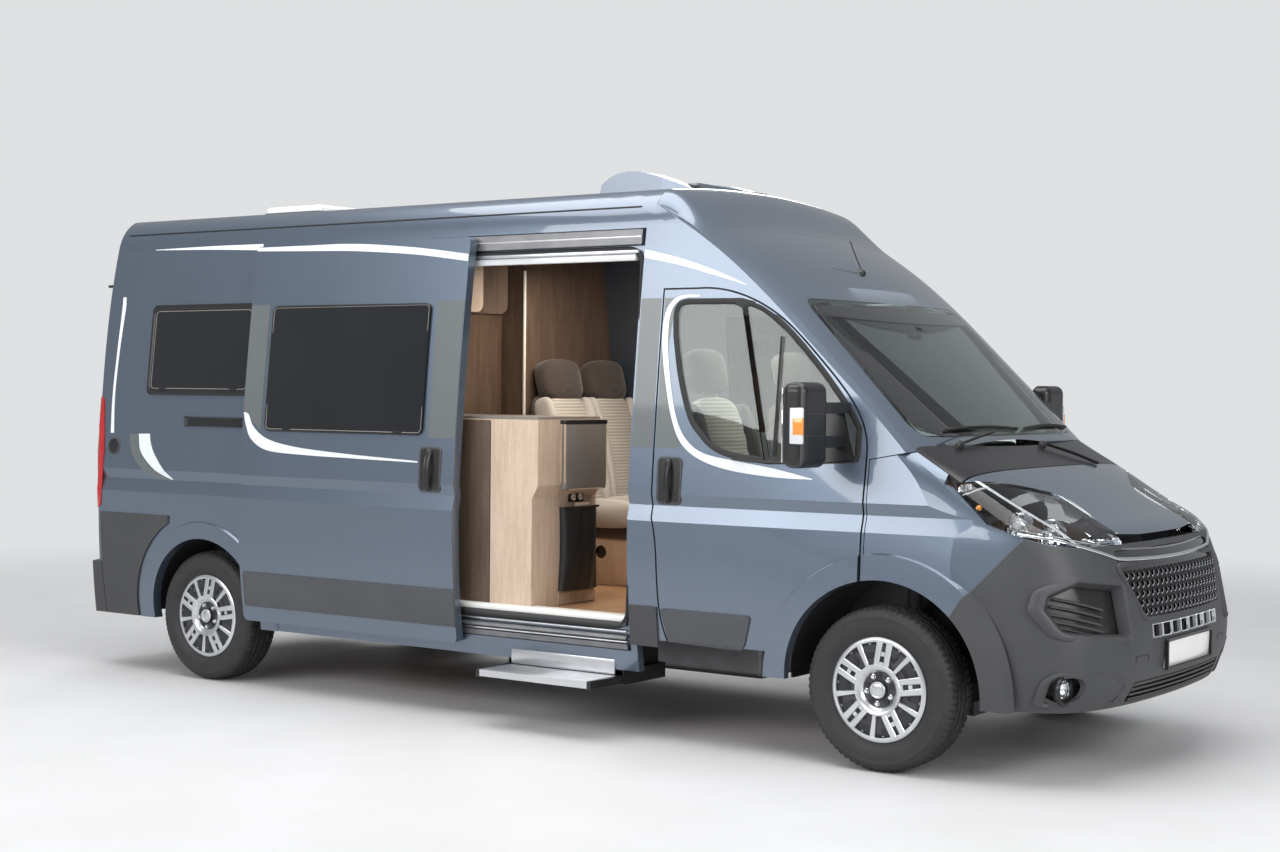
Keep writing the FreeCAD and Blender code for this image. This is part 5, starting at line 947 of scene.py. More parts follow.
# Flecks of a cell: y and z from its middle, lean, half length, half width
FLECKS = ((-0.004, -0.009, 0.35, 0.0125, 0.0024), (0.009, 0.003, -1.0, 0.0085, 0.0020))
BOX_FACES = ((3, 2, 1, 0), (4, 5, 6, 7), (0, 1, 5, 4), (1, 2, 6, 5), (2, 3, 7, 6), (3, 0, 4, 7))
CHROME_LINE = [(0.0, 0.883), (0.25, 0.886), (0.500, 0.896), (0.577, 0.912), (0.731, 0.956), (0.879, 0.997),
               (0.905, 1.004)]
CHROME_UPPER = [(0.0, 0.922), (0.2, 0.925), (0.47, 0.934)]
GRILLE_LOOPS = [(0.016, 0.0005), (0.012, 0.007), (0.0, 0.008), (-0.007, 0.002), (-0.008, -0.010)]
SLOT_LOOPS = [(0.003, 0.0), (0.002, 0.003), (-0.002, 0.003), (-0.004, -0.012), (-0.003, -0.012)]

INTAKE = [(0.560, 0.316), (0.780, 0.326), (0.880, 0.306), (0.895, 0.282), (0.860, 0.243), (0.560, 0.232)]
INTAKE_LOOPS = [(0.026, 0.0), (0.018, 0.010), (0.006, 0.013), (-0.004, 0.009), (-0.012, -0.012),
                (-0.016, -0.040)]
FOG_BEZEL = [(0.064, 0.002), (0.062, 0.012), (0.050, 0.010), (0.043, -0.020), (0.050, -0.024),
             (0.060, -0.010), (0.064, 0.002)]
FOG_BOWL = [(0.0005, -0.034), (0.022, -0.030), (0.036, -0.016), (0.042, 0.000), (0.045, 0.000),
            (0.039, -0.018), (0.024, -0.033), (0.0005, -0.038)]
FOG_LENS = [(0.0005, 0.006), (0.020, 0.005), (0.038, 0.000), (0.044, -0.006), (0.042, -0.008),
            (0.036, -0.003), (0.019, 0.002), (0.0005, 0.003)]
FOG_RECESS = [(0.905, 0.335), (0.905, 0.455), (0.74, 0.455), (0.56, 0.400), (0.60, 0.325)]
FOG_LOOPS = [(0.016, 0.0), (0.010, 0.006), (0.002, 0.007), (-0.006, 0.001)]
TOW_LOOPS = [(0.002, 0.0), (0.002, 0.0012), (-0.002, 0.0012), (-0.002, 0.0)]
PLATE_LOOPS = [(0.010, -0.012), (0.010, 0.003), (0.002, 0.004), (-0.004, 0.0010), (-0.005, 0.0002)]

LAMP_BULB = [(0.0005, 0.010), (0.010, 0.006), (0.013, -0.004), (0.009, -0.020), (0.0005, -0.022)]
LAMP_AMBER = [(0.0005, 0.016), (0.011, 0.011), (0.015, -0.002), (0.011, -0.018), (0.0005, -0.022)]
LAMP_STRIP = [(0.900, 1.030), (0.840, 1.010), (0.760, 0.990), (0.680, 0.972), (0.600, 0.962), (0.520, 0.960)]
LAMP_TIP = [(0.462, 0.972), (0.600, 0.985), (0.650, 1.050), (0.520, 1.040)]
# The white arcs along the bonnet's lower edge: partly a white stripe, partly the edge's highlight painted in
# white.
ARC_UPPER = [(0.815, 1.206), (0.685, 1.188), (0.560, 1.170), (0.470, 1.155), (0.409, 1.128), (0.399, 1.092),
             (0.415, 1.062)]
ARC_LOWER = [(0.825, 1.199), (0.716, 1.175), (0.634, 1.156), (0.560, 1.141), (0.500, 1.118), (0.474, 1.085),
             (0.462, 1.055)]
SCREEN_LOOPS = [(0.016, -0.001), (0.015, 0.002), (0.006, 0.003), (-0.020, 0.0012), (-0.036, 0.0010),
                (-0.037, 0.0002)]
WIPER_CAP = [(0.0005, 0.016), (0.014, 0.013), (0.018, 0.0), (0.018, -0.02), (0.0005, -0.02)]
# Pivot and tip of each wiper
WIPERS = (((-0.60, 1.335), (0.02, 1.400)), ((0.12, 1.325), (0.72, 1.400)))


def sided(points, side):
    """Points with their first coordinate on one side of the van."""
    return [(side * y, z) for y, z in points]


def mirrored(points):
    """A line right across the van from the points of its left half, the middle one first."""
    return [(-y, z) for y, z in points[:0:-1]] + points


def nose_x(y, z):
    """How far forward the nose's smooth face lies at a place."""
    line = NOSE_LINE
    k = 0
    while k < len(line) - 2 and line[k + 1].x < z:
        k += 1
    p1, p2 = line[k], line[k + 1]
    p0 = line[k - 1] if k else 2 * p1 - p2
    p3 = line[k + 2] if k + 2 < len(line) else 2 * p2 - p1
    spot = between(p0, p1, p2, p3, (z - p1.x) / (p2.x - p1.x))
    across = abs(y) / HALF_WIDTH
    return spot.y - NOSE_CROWN * across ** 2 - NOSE_CORNER * spot.z * across ** 8


def nose(y, z, lift=0.0):
    """Maps (y, z, lift) onto the nose's smooth face."""
    step = 0.003
    along = Vector((nose_x(y + step, z) - nose_x(y - step, z), 2 * step, 0))
    up = Vector((nose_x(y, z + step) - nose_x(y, z - step), 0, 2 * step))
    normal = along.cross(up).normalized()
    if normal.x < 0:
        normal = -normal
    return Vector((nose_x(y, z), y, z)) + normal * lift


def cell_centres():
    """The middles of the honeycomb's cells, row by row."""
    for r in range(CELL_ROWS):
        z = 0.680 + r * CELL * 0.80
        half = 0.435 + (z - 0.665) / 0.19 * 0.10
        shift = CELL * 0.5 if r % 2 else 0.0
        count = int((half + shift) / CELL)
        for k in range(-count - 1, count + 1):
            if abs(k * CELL + shift) <= half - 0.012:
                yield k * CELL + shift, z


def fleck_corners(y, z, dy, dz, lean, half_y, half_z):
    """The eight corners of a fleck that narrows outwards."""
    for lift, share in ((0.0, 1), (0.0055, 0.8)):
        for sy, sz in ((-1, -1), (1, -1), (1, 1), (-1, 1)):
            py, pz = sy * half_y * share, sz * half_z
            yield nose(y + dy + py * math.cos(lean) - pz * math.sin(lean),
                       z + dz + py * math.sin(lean) + pz * math.cos(lean), lift - 0.001)


def make_honeycomb():
    verts, faces, flecks, fleck_faces = [], [], [], []
    for y, z in cell_centres():
        faces += loop_faces(len(CELL_LOOPS), 6, len(verts))
        for radius, lift in CELL_LOOPS:
            for s in range(6):
                a = math.pi / 6 + s * math.pi / 3
                verts.append(nose(y + radius * math.cos(a) * 0.92, z + radius * math.sin(a) * 0.86, lift))
        for fleck in FLECKS:
            fleck_faces += [tuple(len(flecks) + i for i in face) for face in BOX_FACES]
            flecks += fleck_corners(y, z, *fleck)
    piece("honeycomb", verts, faces, "black")
    piece("honeycomb_flecks", flecks, fleck_faces, "chrome")


def make_grille():
    """Honeycomb with bright flecks, the gloss band with its chrome lines, and the slots below."""
    make_honeycomb()
    for name, line, count, lift, radius, sides in (("chrome_line", CHROME_LINE, 90, 0.003, 0.0075, 10),
                                                   ("chrome_upper", CHROME_UPPER, 40, -0.002, 0.005, 8)):
        path = [nose(p.x, p.y, lift) for p in curve(mirrored(line), count)]
        tube(name, path, radius, "chrome", sides=sides, flat=0.6)
    lip = rounded_outline([(-0.430, 0.655), (0.430, 0.655), (0.560, 0.870), (-0.560, 0.870)], 0.025)
    band("grille_lip", lip, GRILLE_LOOPS, nose, "dark")
    for i in range(8):
        y = -0.38 + (i + 0.5) * 0.095
        band(f"slot_{i}", box_outline(y - 0.042, y + 0.042, 0.572, 0.625, 0.006), SLOT_LOOPS, nose,
             "chrome" if i % 2 else "alu")


def make_intake(side):
    """The rim, the back and the louvres of a side intake."""
    word = side_name(side)
    outline = rounded_outline([(side * y * HALF_WIDTH, z * HEIGHT) for y, z in INTAKE],
                              [0.015, 0.03, 0.03, 0.03, 0.05, 0.02])
    band(f"intake_rim_{word}", outline, INTAKE_LOOPS, nose, "dark")
    cap(f"intake_back_{word}", grown(outline, 0.006), nose, "black", lift=-0.045, thick=0.004)
    for k in range(5):
        z = 0.640 + k * 0.030
        y = 0.905 - abs(k - 2) * 0.012
        path = [nose(side * (y - 0.05 * i), z - 0.0125 * i, -0.022 - 0.0035 * i) for i in range(5)]
        tube(f"louvre_{word}_{k}", path, 0.0065, "dark", sides=8, flat=0.5)


def make_fog_lamp(side):
    """A fog lamp in its recess, and the tow cover's seam beside it."""
    word = side_name(side)
    y, z = side * 0.850, 0.395
    centre = Vector((nose_x(y, z) - 0.012, y, z))
    axis = (1, side * 0.10, 0)
    for name, profile, mat in (("bezel", FOG_BEZEL, "black"), ("bowl", FOG_BOWL, "chrome"),
                               ("lens", FOG_LENS, "lens")):
        lathe(f"fog_{name}_{word}", profile, centre, axis, mat)
    recess = rounded_outline(sided(FOG_RECESS, side), [0.02, 0.05, 0.06, 0.03, 0.03])
    band(f"fog_recess_{word}", recess, FOG_LOOPS, nose, "dark")
    y = side * 0.47
    band(f"tow_seam_{word}", box_outline(y - 0.052, y + 0.052, 0.438, 0.507, 0.008), TOW_LOOPS, nose, "seal")


def make_bumper():
    """The side intakes, fog lamps, lower ribs and the plate's frame."""
    for side in (-1, 1):
        make_intake(side)
        make_fog_lamp(side)
    for k in range(4):
        z = 0.322 + k * 0.022
        half = 0.50 - abs(k - 1.5) * 0.01
        path = [nose(-half + 2 * half * i / 30, z, -0.004) for i in range(31)]
        tube(f"lower_rib_{k}", path, 0.0075, "dark", sides=8, flat=0.6)
    low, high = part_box("number_plate")
    band("plate_frame", box_outline(low[1], high[1], low[2], high[2], 0.006), PLATE_LOOPS,
         lambda y, z, lift: Vector((high[0] + lift, y, z)), "black")


def make_headlamp(side):
    """What shows in the clear lamp: two bowls with bulbs, an amber bulb, a bright strip and a dark tip."""
    word = side_name(side)
    place = cast_end(1, "headlamps")
    for k, (y, z, radius) in enumerate(((0.705, 1.052, 0.050), (0.800, 1.082, 0.047))):
        centre = place(side * y, z, -0.062)
        axis = (1.0, side * 0.55, 0.30)
        bowl = [(0.0005, -0.030), (0.6 * radius, -0.022), (0.9 * radius, -0.004), (radius, 0.014),
                (1.06 * radius, 0.014), (0.98 * radius, -0.008), (0.66 * radius, -0.027), (0.0005, -0.036)]
        lathe(f"lamp_bowl_{word}_{k}", bowl, centre, axis, "chrome", segments=32)
        lathe(f"lamp_bulb_{word}_{k}", LAMP_BULB, centre, axis, "white_lens", segments=20)
    spot = place(side * 0.893, 1.118, -0.045)
    lathe(f"lamp_amber_{word}", LAMP_AMBER, spot, (0.5, side * 0.9, 0.2), "amber", segments=20)
    strip = [place(side * p.x, p.y, -0.014) for p in curve(LAMP_STRIP, 40)]
    tube(f"lamp_strip_{word}", strip, 0.0045, "chrome", sides=8)
    for k in range(8):
        spot = place(side * (0.530 + 0.022 * k), 0.975 + 0.0012 * k, -0.012)
        small_box(f"lamp_dot_{word}_{k}", spot, 0.004, "white_lens", 0.0015)
    cap(f"lamp_tip_{word}", rounded_outline(sided(LAMP_TIP, side), 0.02), place, "gloss_black", lift=-0.016,
        thick=0.004)


def make_bonnet():
    """The white arcs over the lamps, partly painted highlight, the windscreen's dark border and the wipers.
    """
    front = cast_end(1, "bonnet", "front_wings")
    # Partly a white stripe, partly painted highlight along the bonnet's lower edge.
    for side in (-1, 1):
        film(f"lamp_arc_{side_name(side)}", sided(ARC_UPPER, side), sided(ARC_LOWER, side), front, "stripe",
             "bonnet", lift=0.0014)
    screen = cast_end(1, "windscreen", "roof_frames", "roof")
    outline = rounded_outline([(-0.800, 1.378), (0.800, 1.378), (0.735, 1.974), (-0.735, 1.974)], 0.07)
    band("screen_seal", outline, SCREEN_LOOPS, screen, "gloss_black")
    upper = mirrored([(0.0, 1.945), (0.35, 1.945), (0.71, 1.945)])
    lower = mirrored([(0.0, 1.880), (0.35, 1.885), (0.715, 1.895)])
    film("screen_band", upper, lower, screen, "gloss_black", lift=0.0008, thick=0.0006)
    small_box("screen_sensor", screen(0.0, 1.86, -0.030), 0.028, "black", 0.01)
    for k, (pivot, tip) in enumerate(WIPERS):
        wiper(k, Vector(pivot), Vector(tip))


def wiper(k, pivot, tip):
    """A wiper: pivot cap, arm and blade near the windscreen's lower edge."""
    place = cast_end(1, "windscreen", "cowl", "roof_frames")
    foot = place(*pivot, 0.012)
    lathe(f"wiper_cap_{k}", WIPER_CAP, foot, (0.6, 0, 0.8), "black", segments=20)
    elbow = pivot * 0.45 + tip * 0.55
    end = place(elbow.x, elbow.y + 0.012, 0.020)
    arm = curve([foot + Vector((0.004, 0, 0.006)), (foot + end) / 2 + Vector((0.008, 0, 0.006)), end], 14)
    tube(f"wiper_arm_{k}", arm, 0.008, "black", sides=8, flat=0.6)
    length, steps = 0.62, 12
    blade = [place(tip.x - length + length * i / steps, tip.y + 0.012 * math.sin(math.pi * i / steps), 0.008)
             for i in range(steps + 1)]
    tube(f"wiper_blade_{k}", blade, 0.009, "seal", sides=8, flat=0.7)


# Mirrors and wheels

MIRROR_SEAM = [(0.0035, 0.0), (0.003, 0.002), (-0.003, 0.002), (-0.0035, 0.0)]
TYRE = [(0.203, 0.0800), (0.2165, 0.0838), (0.226, 0.0900), (0.240, 0.0975), (0.243, 0.1000), (0.262, 0.1052),
        (0.285, 0.1073), (0.300, 0.1064), (0.303, 0.1074), (0.306, 0.1060), (0.318, 0.1010), (0.328, 0.0930),
        (0.3345, 0.0850), (0.3385, 0.0750), (0.3400, 0.0660), (0.3405, 0.0555), (0.3405, 0.0545),
        (0.3408, 0.0470), (0.3408, 0.0460), (0.3409, 0.0250), (0.3409, 0.0240), (0.3410, 0.0150),
        (0.3410, 0.0140), (0.3410, 0.0)]
GROOVES = ((0.0465, 0.0550), (0.0145, 0.0245))
TYRE_COLUMNS = 216
WHEEL_FACE = 0.0895
FIRST_SPOKE = math.radians(82)
SPOKES = 5
# Bars of a spoke: angle from it, sideways, radii, half widths, heights at both ends, depth
BARS = [(0.0, -0.0225, 0.098, 0.203, 0.0115, 0.0145, 0.012, 0.006, 0.016),
        (0.0, 0.0225, 0.098, 0.203, 0.0115, 0.0145, 0.012, 0.006, 0.016),
        (0.0, 0.0, 0.098, 0.118, 0.012, 0.012, 0.0095, 0.0095, 0.016),
        (0.0, 0.0, 0.142, 0.160, 0.010, 0.010, 0.0065, 0.006, 0.016),
        (math.pi / SPOKES, 0.0, 0.098, 0.203, 0.0080, 0.0125, 0.008, 0.003, 0.016),
        (-0.37, 0.0, 0.150, 0.203, 0.004, 0.006, 0.0, -0.002, 0.010),
        (0.37, 0.0, 0.150, 0.203, 0.004, 0.006, 0.0, -0.002, 0.010)]
# Silver turned parts of a wheel: profile and segments
WHEEL_TURNED = {
    "lip": ([(0.1960, -0.004), (0.1985, 0.005), (0.2040, 0.0065), (0.2120, 0.004), (0.2175, 0.0005),
             (0.2165, -0.006), (0.2050, -0.010), (0.1960, -0.004)], 72),
    "dish": ([(0.1080, 0.009), (0.1050, 0.0135), (0.0950, 0.0125), (0.0800, 0.0040), (0.0740, -0.0060),
              (0.0700, -0.0085), (0.0480, -0.0085), (0.0480, -0.0120), (0.0760, -0.0110), (0.1000, -0.002),
              (0.1080, 0.009)], 60),
    "cap": ([(0.0005, 0.0135), (0.020, 0.0130), (0.026, 0.0105), (0.0285, 0.0120), (0.0335, 0.0120),
             (0.0365, 0.0080), (0.0385, -0.010), (0.0005, -0.010)], 40),
}
# A dark disc just behind the paddles: partly the steel wheel behind the cover, partly painted shade in the
# gaps between the paddles.
WHEEL_SHADE_BACK = [(0.0005, -0.006), (0.150, -0.006), (0.1975, -0.007), (0.1975, -0.0075), (0.0005, -0.0072)]
BOLT_CIRCLE = 0.0590
BOLT_SEAT = -0.0085
BOLT = [(0.0005, 0.011), (0.0075, 0.0105), (0.0088, 0.0080), (0.0088, 0.003), (0.0125, 0.002),
        (0.0130, -0.002), (0.0005, -0.002)]


def sided_box(name, low, high, side, mat, body, radius):
    """A rounded box given for the left side, put on either side."""
    y0, y1 = sorted((side * low[1], side * high[1]))
    bevelled_box(name, (low[0], y0, low[2]), (high[0], y1, high[2]), mat, radius, body=body)


def make_mirror(side):
    """Trim on the CAD mirror: the lamp on its edge, the two glasses, the seam round it and two lines."""
    word = side_name(side)
    body = f"door_{word}"
    for name, low, high, mat, radius in (
            ("lamp", (1.806, 1.306, 1.352), (1.868, 1.321, 1.500), "white_lens", 0.006),
            ("bulb", (1.818, 1.308, 1.385), (1.869, 1.3215, 1.462), "amber", 0.006),
            ("glass", (1.7555, 1.125, 1.275), (1.7620, 1.298, 1.490), "chrome", 0.003),
            ("wide", (1.7555, 1.125, 1.505), (1.7620, 1.298, 1.580), "chrome", 0.003)):
        sided_box(f"mirror_{name}_{word}", low, high, side, mat, body, radius)
    band(f"mirror_seam_{word}", box_outline(1.774, 1.856, 1.262, 1.596, 0.030), MIRROR_SEAM,
         cast_side(side, f"mirror_{word}"), "dark", body)
    front = cast_end(1, f"mirror_{word}")
    for k, z in enumerate((1.385, 1.475)):
        path = [front(side * y, z, 0.0015) for y in (1.15, 1.20, 1.25, 1.29)]
        tube(f"mirror_line_{word}_{k}", path, 0.0016, "dark", body, 6)


def groove_depth(r, y, column):
    """How deep the tread is cut at a place: ring grooves, shoulder blocks and fine cuts."""
    if r > 0.335 and any(inner - 1e-4 <= abs(y) <= outer + 1e-4 for inner, outer in GROOVES):
        return 0.008
    if r > 0.316 and abs(y) > 0.055 and (column + (y > 0)) % 3 == 0:
        return 0.006 if r > 0.330 else 0.003
    if r > 0.335 and 0.0245 < abs(y) < 0.0465 and (column + 1) % 6 == 0:
        return 0.004
    return 0.0


def make_tyre(end, side, centre, body):
    """A tyre with ring grooves, blocks at the shoulders and lines on its side walls."""
    name = f"tyre_{end}_{side_name(side)}"
    profile = [(0.200, 0.078)] + TYRE + [(r, -y) for r, y in TYRE[-2::-1]] + [(0.200, -0.078)]
    verts = []
    for r, y in profile:
        for column in range(TYRE_COLUMNS):
            a = FULL_TURN * column / TYRE_COLUMNS
            cut = r - groove_depth(r, y, column)
            verts.append(centre + Vector((cut * math.cos(a), y, cut * math.sin(a))))
    obj = piece(name + "_skin", verts, loop_faces(len(profile), TYRE_COLUMNS), "tyre", body, 28.0)
    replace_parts(obj, name)


def wheel_cover(end, side, centre, body):
    """The silver wheel: double paddles, single bars, lip, hub dish, bolts, a plain cap and a dark back that
    paints the shade between the paddles.
    """
    word = f"{end}_{side_name(side)}"
    verts, faces = [], []

    def at(radius, angle, out, lateral=0.0):
        c, s = math.cos(angle), math.sin(angle)
        y = side * (WHEEL_FACE + out)
        return centre + Vector((radius * c - lateral * s, y, radius * s + lateral * c))

    def bar(angle, lateral, r0, r1, half0, half1, out0, out1, thick):
        start, stations = len(verts), 5
        for i in range(stations):
            t = i / (stations - 1)
            half = half0 + (half1 - half0) * t
            out = out0 + (out1 - out0) * t ** 1.6
            for w, o in ((-half, out - thick), (-half, out - 0.003), (-half * 0.78, out), (half * 0.78, out),
                         (half, out - 0.003), (half, out - thick)):
                verts.append(at(r0 + (r1 - r0) * t, angle, o, lateral + w))
        faces.extend(grid_faces(stations, 6, start, closed=True))
        faces.append(tuple(range(start, start + 6)))
        faces.append(tuple(range(start + (stations - 1) * 6, start + stations * 6))[::-1])

    axis = Vector((0, side, 0))
    front = centre + axis * WHEEL_FACE
    for k in range(SPOKES):
        spoke = FIRST_SPOKE + FULL_TURN * k / SPOKES
        for angle, *rest in BARS:
            bar(spoke + angle, *rest)
    piece(f"wheel_paddles_{word}", verts, faces, "silver", body, 30.0)
    for name, (profile, segments) in WHEEL_TURNED.items():
        lathe(f"wheel_{name}_{word}", profile, front, axis, "silver", body, segments)
    for k in range(SPOKES):
        spot = at(BOLT_CIRCLE, FIRST_SPOKE + FULL_TURN * (k + 0.5) / SPOKES, BOLT_SEAT)
        lathe(f"wheel_bolt_{word}_{k}", BOLT, spot, axis, "chrome", body, 12)
    # Dark back disc: partly the steel wheel, partly painted shade between the paddles.
    lathe(f"wheel_shade_back_{word}", WHEEL_SHADE_BACK, front, axis, "cast", body)


def make_wheels():
    for end, x, half_track in (("front", FRONT_AXLE, 0.905), ("rear", REAR_AXLE, 0.895)):
        for side in (-1, 1):
            centre = Vector((x, side * half_track, WHEEL_RADIUS))
            body = f"wheel_{end}_{side_name(side)}"
            make_tyre(end, side, centre, body)
            wheel_cover(end, side, centre, body)


# Rear and roof

REAR_WINDOW_LOOPS = [(0.0035, -0.006), (0.003, 0.004), (-0.006, 0.0045), (-0.018, 0.002), (-0.019, 0.0002)]
RIDGE_LOOPS = [(0.006, 0.0), (0.002, 0.004), (-0.004, 0.004), (-0.008, 0.0)]
REAR_HANDLE_LOOPS = [(0.0, 0.0), (-0.001, 0.004), (-0.006, 0.005), (-0.010, 0.001)]
RECESS_LOOPS = [(0.012, 0.0), (0.008, 0.004), (0.0, 0.004), (-0.002, 0.0)]
HATCH_LOOPS = [(0.014, 0.0), (0.012, 0.006), (0.003, 0.006), (0.002, 0.0)]
TAIL_LENSES = ((0.885, 1.020, "white_lens"), (1.030, 1.170, "amber"), (1.180, 1.490, "red_lens"))
TAIL_SIDE = [(-2.925, 0.885), (-2.800, 0.885), (-2.785, 1.200), (-2.815, 1.500), (-2.925, 1.500)]
ANTENNA_FOOT = [(0.0005, 0.016), (0.012, 0.014), (0.022, 0.004), (0.024, -0.004), (0.0005, -0.006)]
BROW_REAR = 0.8315
BROW_FRONT = 1.120
BROW_HALF = 0.870
BROW_COLUMNS = 61
BROW_ROWS = 17


def across_outline(side, y0, y1, z0, z1, radius):
    """A rounded box outline on one side of the back."""
    return box_outline(*sorted((side * y0, side * y1)), z0, z1, radius)


def rear_door(side):
    """The rim of a back door's window and the ridge round its lower panel."""
    word = side_name(side)
    body = f"back_door_{word}"
    inset = 0.004
    low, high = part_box(f"rear_glass_{word}")
    outline = box_outline(low[1] + inset, high[1] - inset, low[2] + inset, high[2] - inset, 0.055)
    window = cast_end(-1, f"rear_glass_{word}")
    band(f"rear_window_rim_{word}", outline, REAR_WINDOW_LOOPS, window, "black", body)
    panel = cast_end(-1, f"rear_door_{word}")
    lower = across_outline(side, 0.14, 0.68, 0.700, 1.230, 0.060)
    band(f"rear_panel_ridge_{word}", lower, RIDGE_LOOPS, panel, "paint", body)


def tail_lenses(side):
    """The three lenses of a tail lamp."""
    lamps = cast_end(-1, "tail_lamps")
    for k, (z0, z1, mat) in enumerate(TAIL_LENSES):
        outline = across_outline(side, 0.835, 0.945, z0, z1, 0.014)
        cap(f"tail_lens_{side_name(side)}_{k}", outline, lamps, mat, lift=0.0035, thick=0.0034, crown=0.002)


def tail_side(side):
    """The part of a tail lamp that wraps round the corner."""
    word = side_name(side)
    cap(f"tail_side_{word}", rounded_outline(TAIL_SIDE, [0.01, 0.03, 0.05, 0.03, 0.01]),
        cast_side(side, f"side_wall_{word}", "tail_lamps"), "red_lens", lift=0.006, thick=0.006, crown=0.003)


def rear_handle():
    body = "back_door_right"
    panel = cast_end(-1, "rear_door_right", "rear_door_left")
    outline = box_outline(-0.115, -0.040, 1.02, 1.23, 0.02)
    band("rear_handle_rim", outline, REAR_HANDLE_LOOPS, panel, "dark", body)
    cap("rear_handle_cup", grown(outline, -0.006), panel, "black", body, lift=0.002, thick=0.002)
    steps = 8
    grip = [panel(-0.078, 1.04 + 0.17 * i / steps, 0.004 + 0.016 * math.sin(math.pi * i / steps))
            for i in range(steps + 1)]
    tube("rear_handle_grip", grip, 0.012, "black", body, flat=0.6)


def make_rear():
    """Window rims, tail lamps, handle, reflectors, the blank plate and the top brake lamp of the back."""
    for side in (-1, 1):
        rear_door(side)
        tail_lenses(side)
    both(tail_side)
    rear_handle()
    bumper = cast_end(-1, "rear_bumper")
    for side in (-1, 1):
        cap(f"reflector_{side_name(side)}", across_outline(side, 0.72, 0.90, 0.40, 0.435, 0.008), bumper,
            "red_lens", lift=0.004, thick=0.0038, crown=0.001)
    band("plate_recess", box_outline(-0.26, 0.26, 0.385, 0.500, 0.008), RECESS_LOOPS, bumper, "black")
    plate = box_outline(-0.255, 0.255, 0.390, 0.495, 0.006)
    cap("rear_plate", plate, bumper, "plate", lift=0.003, thick=0.0028)
    cap("top_brake_lamp", box_outline(-0.16, 0.16, 2.345, 2.375, 0.012), cast_end(-1, "roof"), "red_lens",
        lift=0.006, thick=0.006, crown=0.002)


def make_roof():
    """The antenna, the roof light's seal, the gutter lines and the brow."""
    over = cast_top("roof", "roof_frames", "hatch_lid", "vent_lid")
    foot = over(1.40, 0.0, 0.001)
    lathe("antenna_foot", ANTENNA_FOOT, foot, (0.25, 0, 1), "black", segments=24)
    rod = [foot + Vector(p) for p in ((0.002, 0, 0.008), (-0.030, 0, 0.075), (-0.062, 0, 0.150))]
    tube("antenna_rod", rod, 0.0032, "black", sides=8)
    band("hatch_seal", box_outline(0.235, 0.690, -0.315, 0.315, 0.04), HATCH_LOOPS, over, "seal")
    for side in (-1, 1):
        line = [over(-2.75 + 0.1 * i, side * 0.872, 0.002) for i in range(36)]
        tube(f"gutter_{side_name(side)}", line, 0.004, "seal", sides=6, flat=0.5)
    make_brow()


def make_brow():
    """The sheet that leads the flat roof down to the sloping front."""
    skin = tree_of(("roof", "side_wall_right", "side_wall_left"))
    reach = BROW_FRONT - BROW_REAR

    def top_at(x, y):
        return hit(skin, (x, y, 4.0), (0, 0, -1), (x, y, 2.4)).z

    upper, lower = [], []
    for r in range(BROW_ROWS):
        t = r / (BROW_ROWS - 1)
        x = BROW_REAR + reach * t
        line_up, line_low = [], []
        for c in range(BROW_COLUMNS):
            y = -BROW_HALF + 2 * BROW_HALF * c / (BROW_COLUMNS - 1)
            below = top_at(max(x, 0.850), y)
            z = ((2 * t ** 3 - 3 * t ** 2 + 1) * top_at(BROW_REAR - 0.006, y)
                 + (t ** 3 - 2 * t ** 2 + t) * reach * -0.10
                 + (3 * t ** 2 - 2 * t ** 3) * top_at(BROW_FRONT, y) + (t ** 3 - t ** 2) * reach * -0.60)
            line_up.append(Vector((x, y, max(z, below + 0.0006))))
            line_low.append(Vector((x, y, below + 0.0002 if r else below - 0.002)))
        upper.append(line_up)
        lower.append(line_low)
    piece("roof_brow", *slab(upper, lower), "roof_paint", smooth_angle=50.0)


# Doorway, step and living space

DOOR_SEAL_LOOPS = [(0.016, 0.0), (0.015, 0.008), (0.006, 0.014), (-0.004, 0.012), (-0.010, 0.004),
                   (-0.010, -0.020)]
# Rails of the doorway: name, height, radius, flatness, lift, material
RAILS = [
    ("top_rail", 2.262, 0.017, 0.55, 0.010, "alu"),
    ("top_rail_lip", 2.240, 0.0055, 0.8, 0.016, "chrome"),
    ("top_rail_low", 2.225, 0.006, 0.8, 0.010, "steel"),
    ("low_rail", 0.452, 0.015, 0.55, 0.010, "steel"),
    ("low_rail_lip", 0.432, 0.006, 0.8, 0.014, "alu"),
    ("low_rail_top", 0.478, 0.005, 0.8, 0.012, "alu"),
]
RAIL_START = -0.470
RAIL_LENGTH = 1.238
ROLLER = [(0.0005, 0.010), (0.010, 0.008), (0.012, 0.0), (0.010, -0.008), (0.0005, -0.010)]
DOORWAY_BOXES = [
    ("light_strip", (-0.44, -0.905, 2.150), (0.74, -0.872, 2.182), "white_lens", 0.008),
    ("light_rail", (-0.46, -0.915, 2.182), (0.76, -0.860, 2.198), "alu", 0.003),
    ("sill_trim", (-0.466, -0.985, 0.512), (0.764, -0.890, 0.545), "white", 0.010, 3),
    ("sill_lip", (-0.470, -0.992, 0.500), (0.768, -0.978, 0.520), "dark", 0.003),
]
STEP_BOXES = [
    ("step_end_rear", (0.068, -1.208, 0.236), (0.092, -0.950, 0.274), "black", 0.005),
    ("step_end_front", (0.708, -1.208, 0.236), (0.732, -0.950, 0.274), "black", 0.005),
] + [(f"step_rib_{k}", (0.094, -1.201 + 0.026 * k, 0.2695), (0.706, -1.189 + 0.026 * k, 0.2725), "alu",
      0.001, 1) for k in range(9)]
